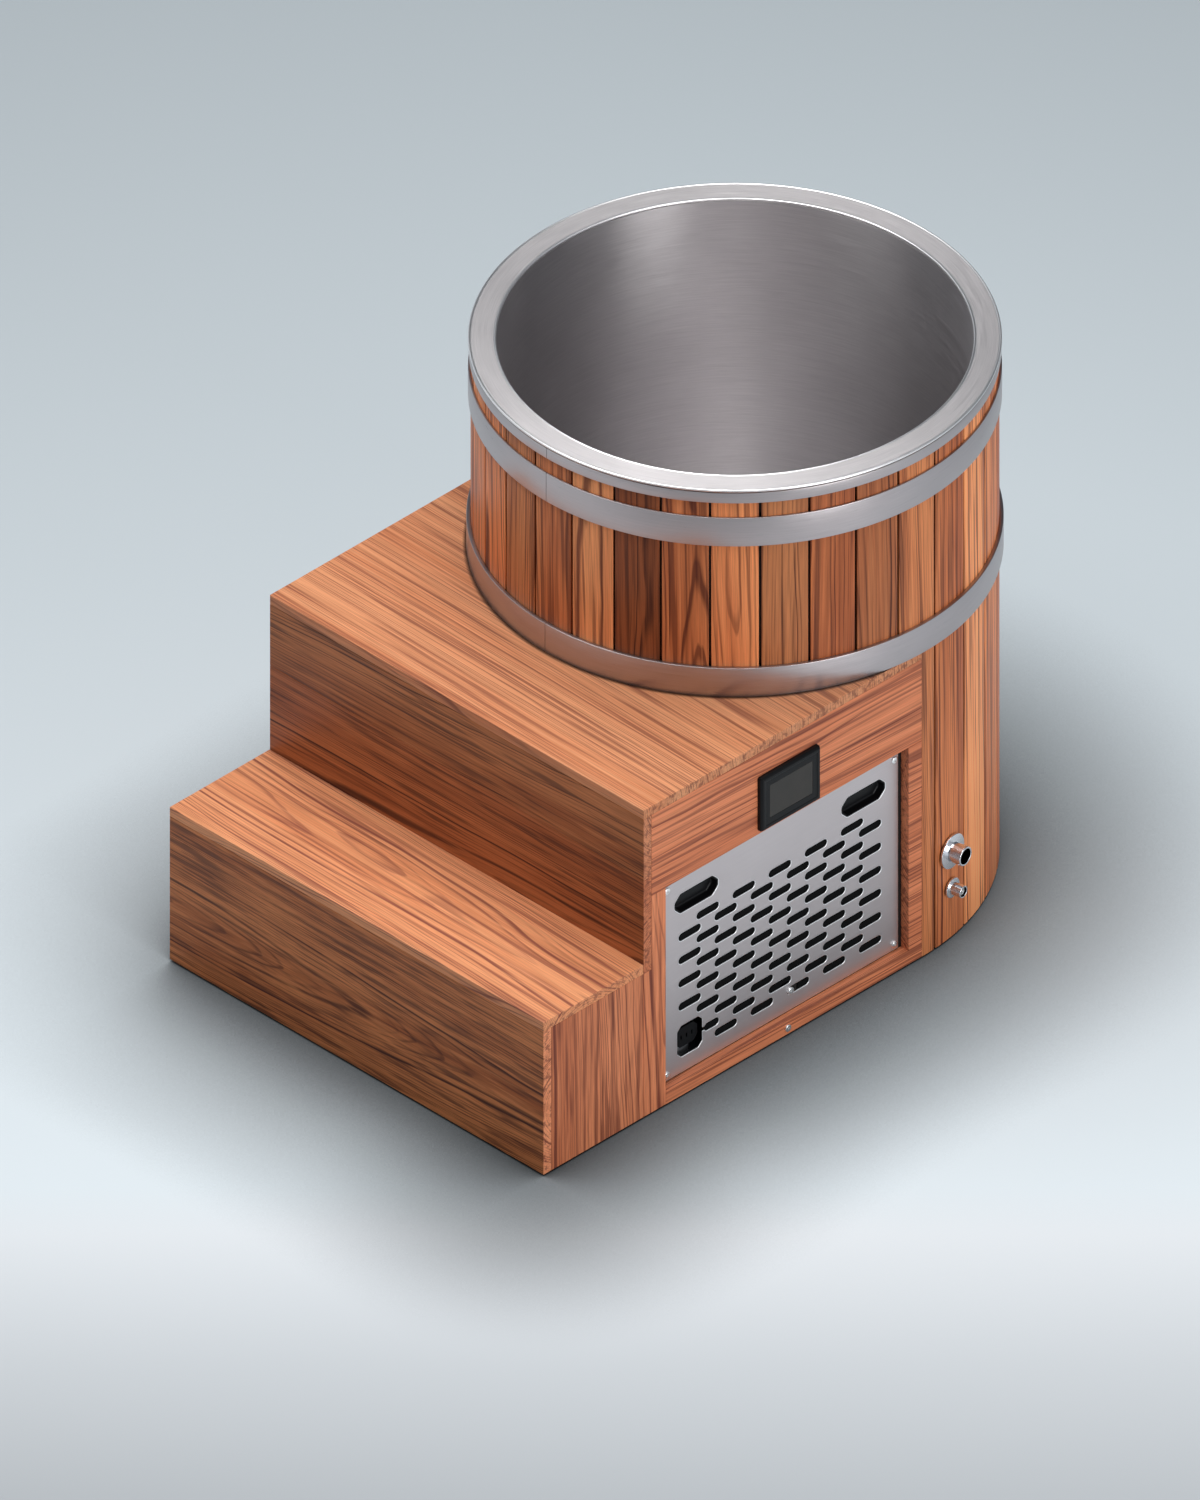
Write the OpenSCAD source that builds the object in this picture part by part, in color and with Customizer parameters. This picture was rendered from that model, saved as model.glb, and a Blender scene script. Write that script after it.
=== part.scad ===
// Barrel cold plunge tub with a two-step deck that houses its chiller.
// Origin: barrel axis at the floor. +Z up, the steps climb towards +Y, the service side is +X.

/* [Barrel] */
// Outside diameter of the stave wall
barrel_d = 840; // [760:10:900]
// Height from the floor to the top of the rim
barrel_h = 1000; // [940:10:1100]
// Number of staves round the barrel
stave_count = 33; // [29:2:37]
// Thickness of a stave
stave_t = 26; // [22:1:32]
// Gap between neighbouring staves
stave_joint = 0.6; // [0.4:0.1:1]
// Bevel along each long edge of a stave
stave_bevel = 1.6; // [1:0.2:2.4]
// Height of both steel hoops
hoop_h = 55; // [40:1:60]
// Thickness of the upper hoop
upper_hoop_t = 4; // [2:0.5:5]
// Thickness of the lower hoop
lower_hoop_t = 7; // [4:0.5:9]
// Distance from the top of the rim down to the upper hoop
upper_hoop_drop = 54; // [30:1:120]

/* [Tub] */
// Thickness of the foam round the tub
jacket_t = 12.4; // [9:0.1:30]
// Number of foam panels that make the jacket
jacket_panels = 24; // [20:1:36]
// Thickness of the tub's steel
liner_t = 2; // [1:0.5:3]
// Thickness of the floor insulation under the tub
floor_foam_t = 40; // [30:5:60]
// Thickness of the rim's flat plate
rim_plate_t = 3.2; // [2:0.2:4]
// Radius of the rolled beads at both edges of the rim
rim_bead_r = 2.2; // [2:0.1:2.8]
// Overhang of the rim past the staves
rim_overhang = 4.4; // [4:0.2:8]
// Height of the steel band under the rim
band_h = 20; // [12:1:30]
// Thickness of the steel band under the rim
band_t = 3; // [2:0.5:4]

/* [Step box] */
// Distance from the barrel to the front face of the upper riser
room_l = 205; // [195:5:320]
// Rise of each of the two steps
step_rise = 300; // [280:5:330]
// Depth of the lower tread
tread_depth = 225; // [200:5:240]
// Thickness of the boards
board_t = 18; // [16:1:22]
// Gap between the floor and the boards
floor_gap = 4; // [2:1:8]
// Diameter of a rubber foot
foot_d = 60; // [40:5:80]
// Height of a rubber foot
foot_h = 12; // [8:1:20]
// Height of the upper board of the upper riser, down from the deck's underside
riser_top_board = 119; // [100:1:150]
// Width of the front stile beside the service opening
stile_w = 50; // [44:1:60]
// Width of the rear stile beside the service opening
rear_stile_w = 30; // [24:1:40]
// Height of the top of the service opening
opening_top_z = 425; // [405:1:430]
// Width and height of the frame battens
batten = 30; // [24:1:34]

/* [Service panel] */
// Thickness of the steel panel
panel_t = 1.5; // [1:0.5:2]
// Gap between the panel and each side of the opening
panel_side_gap = 7; // [3:1:9]
// Gap between the panel and the sill
panel_sill_gap = 2; // [1:0.5:4]
// Gap between the panel and the top of the opening
panel_top_gap = 11; // [4:1:13]
// Thickness of the cleats behind the panel
cleat_t = 7; // [5:0.5:7.5]
// Length of an air slot
slot_l = 48; // [40:1:50]
// Height of an air slot
slot_h = 12; // [8:1:13]
// Distance between slot columns
slot_pitch_y = 40.5; // [38:0.5:42]
// Distance between slots in one column
slot_pitch_z = 45; // [42:1:46]
// Number of slot columns
slot_columns = 11; // [7:2:11]
// Slots in each column
slot_rows = 6; // [4:1:6]
// Width of a recessed pull
pull_w = 98; // [80:1:110]
// Height of a recessed pull
pull_h = 42; // [36:1:44]
// Depth of a recessed pull
pull_depth = 12; // [8:1:13]
// Width of the cut-out over the power inlet
port_cut_w = 56; // [50:1:60]
// Height of the cut-out over the power inlet
port_cut_h = 60; // [54:1:64]
// Diameter of the screw heads
screw_head_d = 13; // [12.5:0.5:15]
// Diameter of the screw shanks
screw_d = 5; // [4:0.5:6]

/* [Controller] */
// Width of the controller's bezel
bezel_w = 134; // [120:1:150]
// Height of the controller's bezel
bezel_h = 104; // [94:1:104]
// How far the bezel stands out from the boards
bezel_t = 10; // [8:1:14]
// Width of the screen
screen_w = 96; // [80:1:100]
// Height of the screen
screen_h = 63; // [50:1:70]
// Thickness of the screen
screen_t = 2; // [1.5:0.5:3]

/* [Water fittings] */
// Outside diameter of the large threaded port
large_port_d = 33.4; // [26.9:0.1:42.4]
// Bore of the large port
large_bore_d = 26.6; // [20:0.1:27]
// Diameter of the large port's flange
large_flange_d = 61; // [54:1:66]
// Length of the large port past its flange
large_port_l = 24; // [18:1:34]
// Height of the large port's axis
large_port_z = 173; // [160:1:200]
// Outside diameter of the small threaded port
small_port_d = 21.3; // [17:0.1:26.9]
// Bore of the small port
small_bore_d = 15.8; // [10:0.1:17]
// Diameter of the small port's flange
small_flange_d = 35; // [31:1:40]
// Length of the small port past its flange
small_port_l = 20; // [14:1:28]
// Height of the small port's axis
small_port_z = 102; // [98:1:110]
// Thickness of a port flange
flange_t = 4; // [3:0.5:6]
// Outside diameter of the water pipes
pipe_d = 32; // [25:1:36]
// Wall of the water pipes
pipe_wall = 3; // [2:0.5:4]
// Outside diameter of the copper lines
line_d = 10; // [8:1:12]
// Diameter of the electric cables
cable_d = 8; // [6:1:10]

/* [Chiller] */
// Diameter of the fan
fan_d = 200; // [160:5:205]
// Width of the condenser coil
coil_w = 250; // [230:5:252]
// Height of the condenser coil
coil_h = 220; // [212:2:240]
// Depth of the condenser coil
coil_t = 33; // [25:1:34]
// Diameter of the compressor shell
compressor_d = 130; // [110:5:140]
// Height of the compressor shell
compressor_h = 255; // [220:5:280]
// Diameter of the heat exchanger shell
exchanger_d = 100; // [90:5:110]
// Height of the heat exchanger shell
exchanger_h = 260; // [220:5:280]
// Diameter of the filter bowl
filter_d = 90; // [80:5:96]
// Height of the filter bowl
filter_h = 290; // [260:5:300]
// Diameter of the pump casing
pump_d = 100; // [90:2:110]

/* [Hidden] */
$fn = 64;

// Shared clearances and the overrun of every cut
seat = 0.3;
hole_clear = 0.3;
contact = 0.05;
running = 0.05;
over = 1;
wood = "#b5703f";
wood_dark = "#8e5230";
wood_light = "#d08a55";
steel = "#a8a4a6";
rubber_black = "#1c1c1e";
copper = "#b8683c";

// Barrel
barrel_r = barrel_d / 2;
stave_in_r = barrel_r - stave_t;
stave_half = 180 / stave_count;
stave_turn = -45;
stave_arc_steps = 6;
port_stave_steps = 5;
port_angle = stave_turn + port_stave_steps * 2 * stave_half;
foam_r = stave_in_r - seat;
liner_r = foam_r - jacket_t - seat;
tub_r = liner_r - liner_t;
panel_pitch = 360 / jacket_panels;
panel_turn = port_angle - 10.7;
panel_arc_steps = 3;
rim_r = barrel_r + rim_overhang;
rim_bead_z = barrel_h - rim_bead_r;
tub_top_z = rim_bead_z - rim_bead_r - seat;
rim_plate_drop = 0.8;
rim_under_z = barrel_h - rim_plate_drop - rim_plate_t;
rim_shadow = 2;
band_top_z = rim_under_z - rim_shadow;
hoop_ease = 0.2;
upper_hoop_z = barrel_h - upper_hoop_drop - hoop_h;

// Step box
wall_x = barrel_r;
wall_in = wall_x - board_t;
upper_y = -barrel_r - room_l;
front_y = upper_y - tread_depth;
upper_in_y = upper_y + board_t;
deck_z = 2 * step_rise;
deck_under = deck_z - board_t;
tread_under = step_rise - board_t;
base_t = 18;
rear_foot_angle = 35;
base_top = foot_h + base_t;
rail_screw_z = (floor_gap + base_top) / 2;
riser_split_z = deck_under - riser_top_board;
stile_back_y = upper_y + stile_w;
opening_back_y = -rear_stile_w;
tub_floor_z = base_top + floor_foam_t;

// Service panel
panel_x = wall_in;
panel_front_x = panel_x + panel_t;
panel_y0 = stile_back_y + panel_side_gap;
panel_y1 = opening_back_y - panel_side_gap;
panel_z0 = base_top + panel_sill_gap;
panel_z1 = opening_top_z - panel_top_gap;
panel_mid_y = (panel_y0 + panel_y1) / 2;
cleat_x = wall_in - cleat_t;
cleat_lap = 20;
cleat_top_lap = 22;
cleat_head = 15;
side_batten_l = 457;
slot_low_z = 70;
slot_start_y = panel_mid_y - slot_pitch_y * (slot_columns - 1) / 2;
port_cut_y = slot_start_y;
port_cut_z = slot_low_z + slot_pitch_z / 2;
port_chamfer = 9;
pull_chamfer = 13;
pull_inset_y = 29;
pull_y = [panel_y0 + pull_inset_y + pull_w / 2, panel_y1 - pull_inset_y - pull_w / 2];
pull_drop = 53;
pull_z = panel_z1 - pull_drop;
pull_wall = 2;
pull_ease = 0.5;
pull_flange = 5;
screw_inset_y = 10;
screw_inset_z = 12;
screw_head_h = 3.5;
screw_grip = 6;
fifth_screw_y = slot_start_y + 6 * slot_pitch_y - (slot_l - slot_h) / 2;
fifth_screw_z = slot_low_z;
cleat_block = 32;
filter_sheet_t = 2.7;
filter_edge = 3;

// Controller
controller_y = panel_mid_y;
controller_gap = 8;
controller_z = opening_top_z + controller_gap + bezel_h / 2;
bezel_bevel = 4;
bezel_step = 6;
screen_sink = 1;
body_margin = 13;
body_w = bezel_w - 2 * body_margin;
body_h = bezel_h - 2 * body_margin;
body_depth_in = 22;
body_x = wall_in - body_depth_in;

// Water fittings
port_out_x = barrel_r;
gasket_t = 1.7;
gasket_extra = 2;
port_reach_in = 24;
nut_t = 10;
nut_seat = 1.2;
nut_share = 1.5;
flange_seat = 2;
fitting_r = 21;
fitting_bore_r = 14;
fitting_flange_r = 34;
fitting_flange_t = 4;
fitting_reach = 40;
fitting_out_r = foam_r + fitting_reach;
suction_angle = -68;
suction_z = 130;
strainer_r = 29;
strainer_t = 12;
strainer_wall = 2;
plug_sink = 3;
plug_socket_l = 5;
plug_reach = 10;
plug_socket_r = 3.5;

// Chiller
base_y0 = front_y + board_t;
tray_w = 142;
tray_inset = 24;
tray_x1 = wall_in - tray_inset;
tray_x0 = tray_x1 - tray_w;
tray_front_gap = 7;
tray_y0 = upper_in_y + tray_front_gap;
tray_t = 3;
tray_top = base_top + tray_t;
sheet_t = 2;
jacket_clear = 4;
coil_lift = 92;
coil_z0 = tray_top + coil_lift;
shroud_inset = 71;
shroud_x = wall_in - shroud_inset;
coil_clear = 14.5;
coil_y1 = -sqrt(pow(foam_r + coil_clear, 2) - pow(shroud_x, 2)) - sheet_t;
coil_y0 = coil_y1 - coil_w;
tray_y1 = coil_y0 + coil_w + 2 * sheet_t;
coil_fins = 24;
fin_gap_share = 0.4;
fin_deep = 6;
coil_port_in = 20;
coil_port_pitch = 30;
coil_port_y = [coil_y0 + coil_port_in + coil_port_pitch, coil_y0 + coil_port_in];
coil_x = shroud_x + 2 * sheet_t;
fan_y = coil_y0 + coil_w / 2;
fan_z = coil_z0 + coil_h / 2;
fan_ring_clear = 3;
fan_gap = 7;
fan_hub_r = 30;
fan_hub_l = 22;
fan_blades = 5;
fan_blade_w = 60;
fan_blade_t = 2;
fan_pitch = 28;
fan_tip_clear = 3;
fan_x = shroud_x - fan_gap - fan_hub_l;
shaft_r = 4;
shaft_in = 30;
arm_w = 20;
arm_t = 4;
arm_gap = 6;
arm_x = fan_x - arm_gap - arm_t;
arm_drop = 3;
arm_z0 = coil_z0 - arm_drop;
fan_motor_r = 35;
fan_motor_l = 46;
filter_inset = 118;
filter_x = wall_in - filter_inset;
filter_front_gap = 12;
filter_y = upper_in_y + filter_front_gap + filter_d / 2;
filter_wall = 4;
filter_in_z = 275;
filter_cap_h = 26;
filter_cap_lap = 5;
filter_grip = 3;
cartridge_r = 28;
cartridge_bore = 12;
compressor_inset = 152;
compressor_x = compressor_inset - wall_in;
compressor_front = 107;
compressor_y = upper_in_y + compressor_front;
compressor_foot = 140;
compressor_foot_t = 3;
mount_r = 10;
mount_h = 12;
mount_reach = 55;
compressor_top_r = 42;
shoulder_share = 0.94;
compressor_shoulder = 30;
exchanger_x = -110;
exchanger_front = 82;
exchanger_y = upper_in_y + exchanger_front;
exchanger_cap = 12;
exchanger_wall = 4;
return_angle = atan2(exchanger_y, exchanger_x);
return_z = 180;
pump_y = filter_y;
pump_lift = 15;
pump_z = base_top + pump_lift + pump_d / 2;
pump_x = 60;
pump_l = 42;
pump_wall = 6;
pump_motor_r = 40;
pump_motor_l = 84;
pump_shaft_r = 5;
pump_shaft_in = 40;
pump_foot_w = 70;
pump_inlet_l = 15;
impeller_r = 36;
impeller_l = 22;
impeller_gap = 4;
vanes = 6;
vane_t = 4;
vane_share = 0.75;
elbow_extra = 3;
line_elbow = 1;
shaft_clear = 2;
control_x = 110;
control_gap = 37;
control_l = 110;
control_y0 = base_y0 + control_gap;
control_y1 = control_y0 + control_l;
control_h = 170;
inlet_w = 48;
inlet_h = 37;
inlet_l = 22;
inlet_back = 6;
inlet_x = tray_x1 - inlet_back + sheet_t;
pin_slot_w = 3;
pin_slot_h = 8;
pin_slot_depth = 12;
pin_pitch = 12;
bracket_h = 92;
bracket_side = 2;

// Heights and turning places of the pipes, the lines and the cables
filter_stub = 15;
suction_land = 24;
exchanger_stub = 15;
exchanger_pipe_z = 335;
return_stub = 4;
coil_stub = 8;
line_high_z = 405;
line_mid_z = 378;
line_low_z = 335;
line_land = 25;
line_back = 32;
compressor_land = 28;
cable_side_x = 90;
cable_up_z = 235;
cable_gap = 15;
cable_top_z = 525;
cable_rise = 57;
cable_end_z = 500;
power_z = 100;
power_in = 44;
power_low_z = 45;
power_gap = 11;

exchanger_top = base_top + exchanger_h;
discharge_x = pump_x + pump_l / 2;
suction_dir = [cos(suction_angle), sin(suction_angle)];
suction_far = fitting_out_r + pipe_d;
filter_side_x = filter_x - filter_d / 2 - filter_stub;
suction_turn_x = filter_side_x - suction_land;
suction_pipe = [
    [(fitting_out_r + contact) * suction_dir.x, (fitting_out_r + contact) * suction_dir.y, suction_z],
    [suction_far * suction_dir.x, suction_far * suction_dir.y, suction_z],
    [suction_far * suction_dir.x, suction_far * suction_dir.y, filter_in_z],
    [suction_turn_x, filter_y, filter_in_z],
    [filter_side_x, filter_y, filter_in_z]];
pump_pipe = [
    [pump_x + pump_l + pump_inlet_l, pump_y, pump_z],
    [filter_side_x, pump_y, pump_z]];
exchanger_pipe = [
    [discharge_x, pump_y, pump_z + pump_d / 2 + exchanger_stub],
    [discharge_x, pump_y, exchanger_pipe_z],
    [exchanger_x, exchanger_y, exchanger_pipe_z],
    [exchanger_x, exchanger_y, exchanger_top + exchanger_stub]];
return_dir = [cos(return_angle), sin(return_angle)];
return_far = norm([exchanger_x, exchanger_y]) - exchanger_d / 2 - return_stub;
return_pipe = [
    [(fitting_out_r + contact) * return_dir.x, (fitting_out_r + contact) * return_dir.y, return_z],
    [(return_far - contact) * return_dir.x, (return_far - contact) * return_dir.y, return_z]];
coil_top = coil_z0 + coil_h;
compressor_top = base_top + mount_h + compressor_foot_t + compressor_h;
line_x = coil_x + coil_t / 2;
liquid_x = exchanger_x + line_land;
liquid_y = exchanger_y + line_land;
discharge_line = [
    [compressor_x, compressor_y, compressor_top],
    [compressor_x, compressor_y, line_high_z],
    [line_x, coil_port_y[0], line_high_z],
    [line_x, coil_port_y[0], coil_top + coil_stub]];
liquid_line = [
    [line_x, coil_port_y[1], coil_top + coil_stub],
    [line_x, coil_port_y[1], line_mid_z],
    [liquid_x, liquid_y, line_mid_z],
    [liquid_x, liquid_y, exchanger_top]];
suction_line = [
    [exchanger_x - line_back, exchanger_y, exchanger_top],
    [exchanger_x - line_back, exchanger_y, line_low_z],
    [compressor_x + compressor_land, compressor_y, line_low_z],
    [compressor_x + compressor_land, compressor_y, compressor_top]];
cable_y = upper_in_y + cable_gap;
cable_rise_x = wall_in - cable_rise - batten;
cable_start_y = (control_y0 + control_y1) / 2;
control_cable = [
    [cable_side_x, cable_start_y, base_top + control_h],
    [cable_side_x, cable_start_y, cable_up_z],
    [cable_side_x, cable_y, cable_up_z],
    [cable_side_x, cable_y, cable_top_z],
    [cable_rise_x, cable_y, cable_top_z],
    [cable_rise_x, controller_y, cable_top_z],
    [cable_rise_x, controller_y, cable_end_z],
    [body_x, controller_y, cable_end_z]];
power_x = wall_in - power_in;
power_y = upper_in_y - power_gap;
power_cable = [
    [inlet_x - sheet_t, port_cut_y, power_z],
    [power_x, port_cut_y, power_z],
    [power_x, port_cut_y, power_low_z],
    [power_x, power_y, power_low_z],
    [cable_side_x, power_y, power_low_z],
    [cable_side_x, control_y1, power_low_z]];

function arc(r, a0, a1, n) = [for (i = [0 : n]) let (a = a0 + (a1 - a0) * i / n) [r * cos(a), r * sin(a)]];

function stave_centre(i) = let (a = stave_turn + i * 2 * stave_half) a > 180 ? a - 360 : a;

function in_front(a) = a + stave_half <= 0 && a - stave_half >= -180;

function crosses(a) = !in_front(a) && (a < stave_half || a > 180 - stave_half);

function move_end(p, q, e) = q + (q - p) * e / norm(q - p);

function stretched(points, e) = let (n = len(points)) [for (i = [0 : n - 1])
    i == 0 ? move_end(points[1], points[0], e)
    : i == n - 1 ? move_end(points[n - 2], points[n - 1], e) : points[i]];

// A box from its lowest corner to its highest
module span(low, high) {
    translate(low) cube(high - low);
}

// A rod along +X that starts at x
module rod_x(x, y, z, r, l) {
    translate([x, y, z]) rotate([0, 90, 0]) cylinder(r = r, h = l);
}

module rod(p, q, r) {
    v = q - p;
    translate(p) rotate([0, acos(v.z / norm(v)), atan2(v.y, v.x)]) cylinder(r = r, h = norm(v));
}

module route(points, r, elbow) {
    for (i = [0 : len(points) - 2]) rod(points[i], points[i + 1], r);
    if (len(points) > 2)
        for (i = [1 : len(points) - 2]) translate(points[i]) sphere(r = r + elbow);
}

module pipe(points, r, wall) {
    difference() {
        route(points, r, elbow_extra);
        route(stretched(points, over), r - wall, elbow_extra / 2);
    }
}

// A round hole or rod that leaves the barrel axis at an angle, at a height
module radial(angle, z, r0, r1, r) {
    rotate([0, 0, angle]) rod_x(r0, 0, z, r, r1 - r0);
}

// Outline of a rectangle with cut corners, centred
module cut_corners(w, h, c) {
    polygon([[-w / 2 + c, -h / 2], [w / 2 - c, -h / 2], [w / 2, -h / 2 + c], [w / 2, h / 2 - c],
        [w / 2 - c, h / 2], [-w / 2 + c, h / 2], [-w / 2, h / 2 - c], [-w / 2, -h / 2 + c]]);
}

// Turns a drawing in Y and Z into a plate that stands square to X
module plate_x(x, t) {
    translate([x, 0, 0]) rotate([90, 0, 90]) linear_extrude(height = t) children();
}

module stave_outline() {
    edge = stave_half - stave_joint / barrel_r * 90 / PI;
    top = edge - stave_bevel / barrel_r * 180 / PI;
    polygon(concat(
        [[(barrel_r - stave_bevel) * cos(-edge), (barrel_r - stave_bevel) * sin(-edge)]],
        arc(barrel_r, -top, top, stave_arc_steps),
        [[(barrel_r - stave_bevel) * cos(edge), (barrel_r - stave_bevel) * sin(edge)]],
        arc(stave_in_r, edge, -edge, stave_arc_steps)));
}

module stave(angle, z0) {
    rotate([0, 0, angle]) translate([0, 0, z0])
        linear_extrude(height = rim_under_z - contact - z0) stave_outline();
}

// The room that the step box takes out of the barrel's skirt
module box_room() {
    span([-wall_x - over, front_y, -over], [wall_x + over, 0, deck_z + contact]);
}

module base_panel() {
    color("#c9a77c") difference() {
        union() {
            span([-wall_in, base_y0, foot_h], [wall_in, 0, base_top]);
            translate([0, 0, foot_h]) cylinder(r = foam_r, h = base_t);
        }
        rod_x(wall_in - 3 * batten, controller_y, rail_screw_z, screw_d / 2 + hole_clear, 4 * batten);
    }
}

module feet() {
    inset = foot_d / 2 + batten;
    color(rubber_black) {
        cylinder(d = foot_d, h = foot_h);
        for (x = [-1, 1]) {
            for (y = [base_y0 + inset, upper_in_y + inset, -inset])
                translate([x * (wall_in - inset), y, 0]) cylinder(d = foot_d, h = foot_h);
            rotate([0, 0, 90 - x * rear_foot_angle]) translate([stave_in_r - inset, 0, 0])
                cylinder(d = foot_d, h = foot_h);
        }
        translate([0, base_y0 + inset, 0]) cylinder(d = foot_d, h = foot_h);
    }
}

module lower_riser() {
    color(wood_dark) span([-wall_x, front_y, floor_gap], [wall_x, base_y0, tread_under]);
}

module lower_tread() {
    color(wood_light) span([-wall_x, front_y, tread_under], [wall_x, upper_y, step_rise]);
}

module upper_riser() {
    color(wood_dark) {
        span([-wall_x, upper_y, tread_under], [wall_x, upper_in_y, riser_split_z]);
        span([-wall_x, upper_y, riser_split_z + contact], [wall_x, upper_in_y, deck_under]);
    }
}

module deck_panel() {
    color(wood_light) difference() {
        span([-wall_x, upper_y, deck_under], [wall_x, 0, deck_z]);
        translate([0, 0, deck_under - over]) cylinder(r = stave_in_r, h = board_t + 2 * over);
    }
}

module step_side_right() {
    color(wood) span([wall_in, base_y0, floor_gap], [wall_x, upper_y, tread_under]);
}

module step_side_left() {
    color(wood) mirror([1, 0, 0]) step_side_right();
}

module side_wall_left() {
    color(wood) {
        mirror([1, 0, 0]) union() {
            span([wall_in, upper_y, floor_gap], [wall_x, 0, tread_under]);
            span([wall_in, upper_in_y, floor_gap], [wall_x, 0, deck_under]);
        }
    }
}

module stile_right() {
    color(wood) union() {
        span([wall_in, upper_y, floor_gap], [wall_x, stile_back_y, tread_under]);
        span([wall_in, upper_in_y, floor_gap], [wall_x, stile_back_y, opening_top_z]);
    }
}

module top_rail_right() {
    color(wood) difference() {
        span([wall_in, upper_in_y, opening_top_z], [wall_x, 0, deck_under]);
        plate_x(wall_in - over, board_t + 2 * over) translate([controller_y, controller_z])
            square([body_w + 2 * seat, body_h + 2 * seat], center = true);
    }
}

module bottom_rail_right() {
    color(wood) difference() {
        span([wall_in, stile_back_y, floor_gap], [wall_x, 0, base_top]);
        rod_x(wall_in - over, controller_y, rail_screw_z, screw_d / 2 + hole_clear, 2 * batten);
    }
}

module rear_stile_right() {
    color(wood) span([wall_in, opening_back_y, base_top], [wall_x, 0, opening_top_z]);
}

module screw_holes(r) {
    for (y = [panel_y0 + screw_inset_y, panel_y1 - screw_inset_y])
        for (z = [panel_z0 + screw_inset_z, panel_z1 - screw_inset_z])
            rod_x(cleat_x - over, y, z, r, cleat_t + panel_t + 2 * over);
    rod_x(cleat_x - over, fifth_screw_y, fifth_screw_z, r, cleat_t + panel_t + 2 * over);
}

module panel_cleats() {
    y0 = upper_in_y + batten;
    inner_y0 = panel_y0 + cleat_lap;
    inner_y1 = panel_y1 - cleat_lap;
    inner_z0 = base_top + cleat_lap;
    inner_z1 = panel_z1 - cleat_top_lap;
    color("#c9a77c") difference() {
        union() {
            span([cleat_x, y0, base_top], [wall_in, 0, inner_z0 - contact]);
            span([cleat_x, y0, inner_z1 + contact], [wall_in, 0, opening_top_z + cleat_head]);
            span([cleat_x, y0, inner_z0], [wall_in, inner_y0, inner_z1]);
            span([cleat_x, inner_y1, inner_z0], [wall_in, 0, inner_z1]);
            span([cleat_x, fifth_screw_y - cleat_block / 2, inner_z0],
                [wall_in, fifth_screw_y + cleat_block / 2, inner_z0 + cleat_block]);
        }
        screw_holes(screw_d / 2 + hole_clear);
    }
}

module frame_battens() {
    post_x = wall_in - batten;
    side_batten_end = upper_in_y + side_batten_l;
    color("#c9a77c") {
        for (m = [0, 1]) mirror([m, 0, 0]) {
            span([post_x, upper_in_y, base_top], [wall_in, upper_in_y + batten, deck_under]);
            span([post_x, base_y0, base_top], [wall_in, base_y0 + batten, tread_under]);
            span([wall_in - 3 * cleat_t, upper_in_y + batten + contact, deck_under - batten],
                [wall_in, side_batten_end, deck_under]);
        }
        span([contact - post_x, upper_in_y, deck_under - batten],
            [post_x - contact, upper_in_y + batten, deck_under]);
        span([contact - post_x, base_y0, tread_under - batten],
            [post_x - contact, base_y0 + batten, tread_under]);
        span([-wall_in, upper_y - batten, tread_under - batten], [wall_in, upper_y, tread_under]);
    }
}

module staves_front() {
    color(wood_dark) for (i = [0 : stave_count - 1])
        if (in_front(stave_centre(i))) stave(stave_centre(i), deck_z + contact);
}

module staves_back() {
    color(wood_dark) for (i = [0 : stave_count - 1]) {
        a = stave_centre(i);
        if (crosses(a)) difference() {
            stave(a, floor_gap);
            box_room();
        }
        if (!in_front(a) && !crosses(a) && i != port_stave_steps) stave(a, floor_gap);
    }
}

module port_stave() {
    color(wood_dark) difference() {
        stave(port_angle, floor_gap);
        radial(port_angle, large_port_z, tub_r, rim_r, large_port_d / 2 + hole_clear);
        radial(port_angle, small_port_z, tub_r, rim_r, small_port_d / 2 + hole_clear);
    }
}

module wall_holes(r0, r1) {
    radial(port_angle, large_port_z, r0, r1, large_port_d / 2 + hole_clear);
    radial(port_angle, small_port_z, r0, r1, small_port_d / 2 + hole_clear);
    radial(suction_angle, suction_z, r0, r1, fitting_r + hole_clear);
    radial(return_angle, return_z, r0, r1, fitting_r + hole_clear);
}

module tub_liner() {
    color(steel) difference() {
        translate([0, 0, tub_floor_z]) cylinder(r = liner_r, h = tub_top_z - tub_floor_z);
        translate([0, 0, tub_floor_z + liner_t]) cylinder(r = tub_r, h = barrel_h);
        wall_holes(tub_r - 2 * over - nut_t, foam_r);
    }
}

module rim_ring() {
    color(steel) rotate_extrude($fn = 128) union() {
        translate([tub_r + rim_bead_r, rim_bead_z]) circle(r = rim_bead_r);
        translate([rim_r - rim_bead_r, rim_bead_z]) circle(r = rim_bead_r);
        translate([tub_r + rim_bead_r, rim_under_z])
            square([rim_r - tub_r - 2 * rim_bead_r, rim_plate_t]);
    }
}

module hoop(z, h, t) {
    color(steel) translate([0, 0, z]) difference() {
        cylinder(r = barrel_r + t, h = h, $fn = 128);
        translate([0, 0, -over]) cylinder(r = barrel_r + hoop_ease, h = h + 2 * over, $fn = 128);
    }
}

module top_band() {
    hoop(band_top_z - band_h, band_h, band_t);
}

module upper_hoop() {
    hoop(upper_hoop_z, hoop_h, upper_hoop_t);
}

module lower_hoop() {
    hoop(deck_z + seat, hoop_h, lower_hoop_t);
}

// One foam panel's outline; its inner edge is a chord line that stays clear of the tub
module jacket_outline() {
    edge = panel_pitch - seat / foam_r * 180 / PI;
    clear_r = (liner_r + seat) / cos(edge / panel_arc_steps / 2);
    polygon(concat(arc(foam_r, 0, edge, panel_arc_steps), arc(clear_r, edge, 0, panel_arc_steps)));
}

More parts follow.
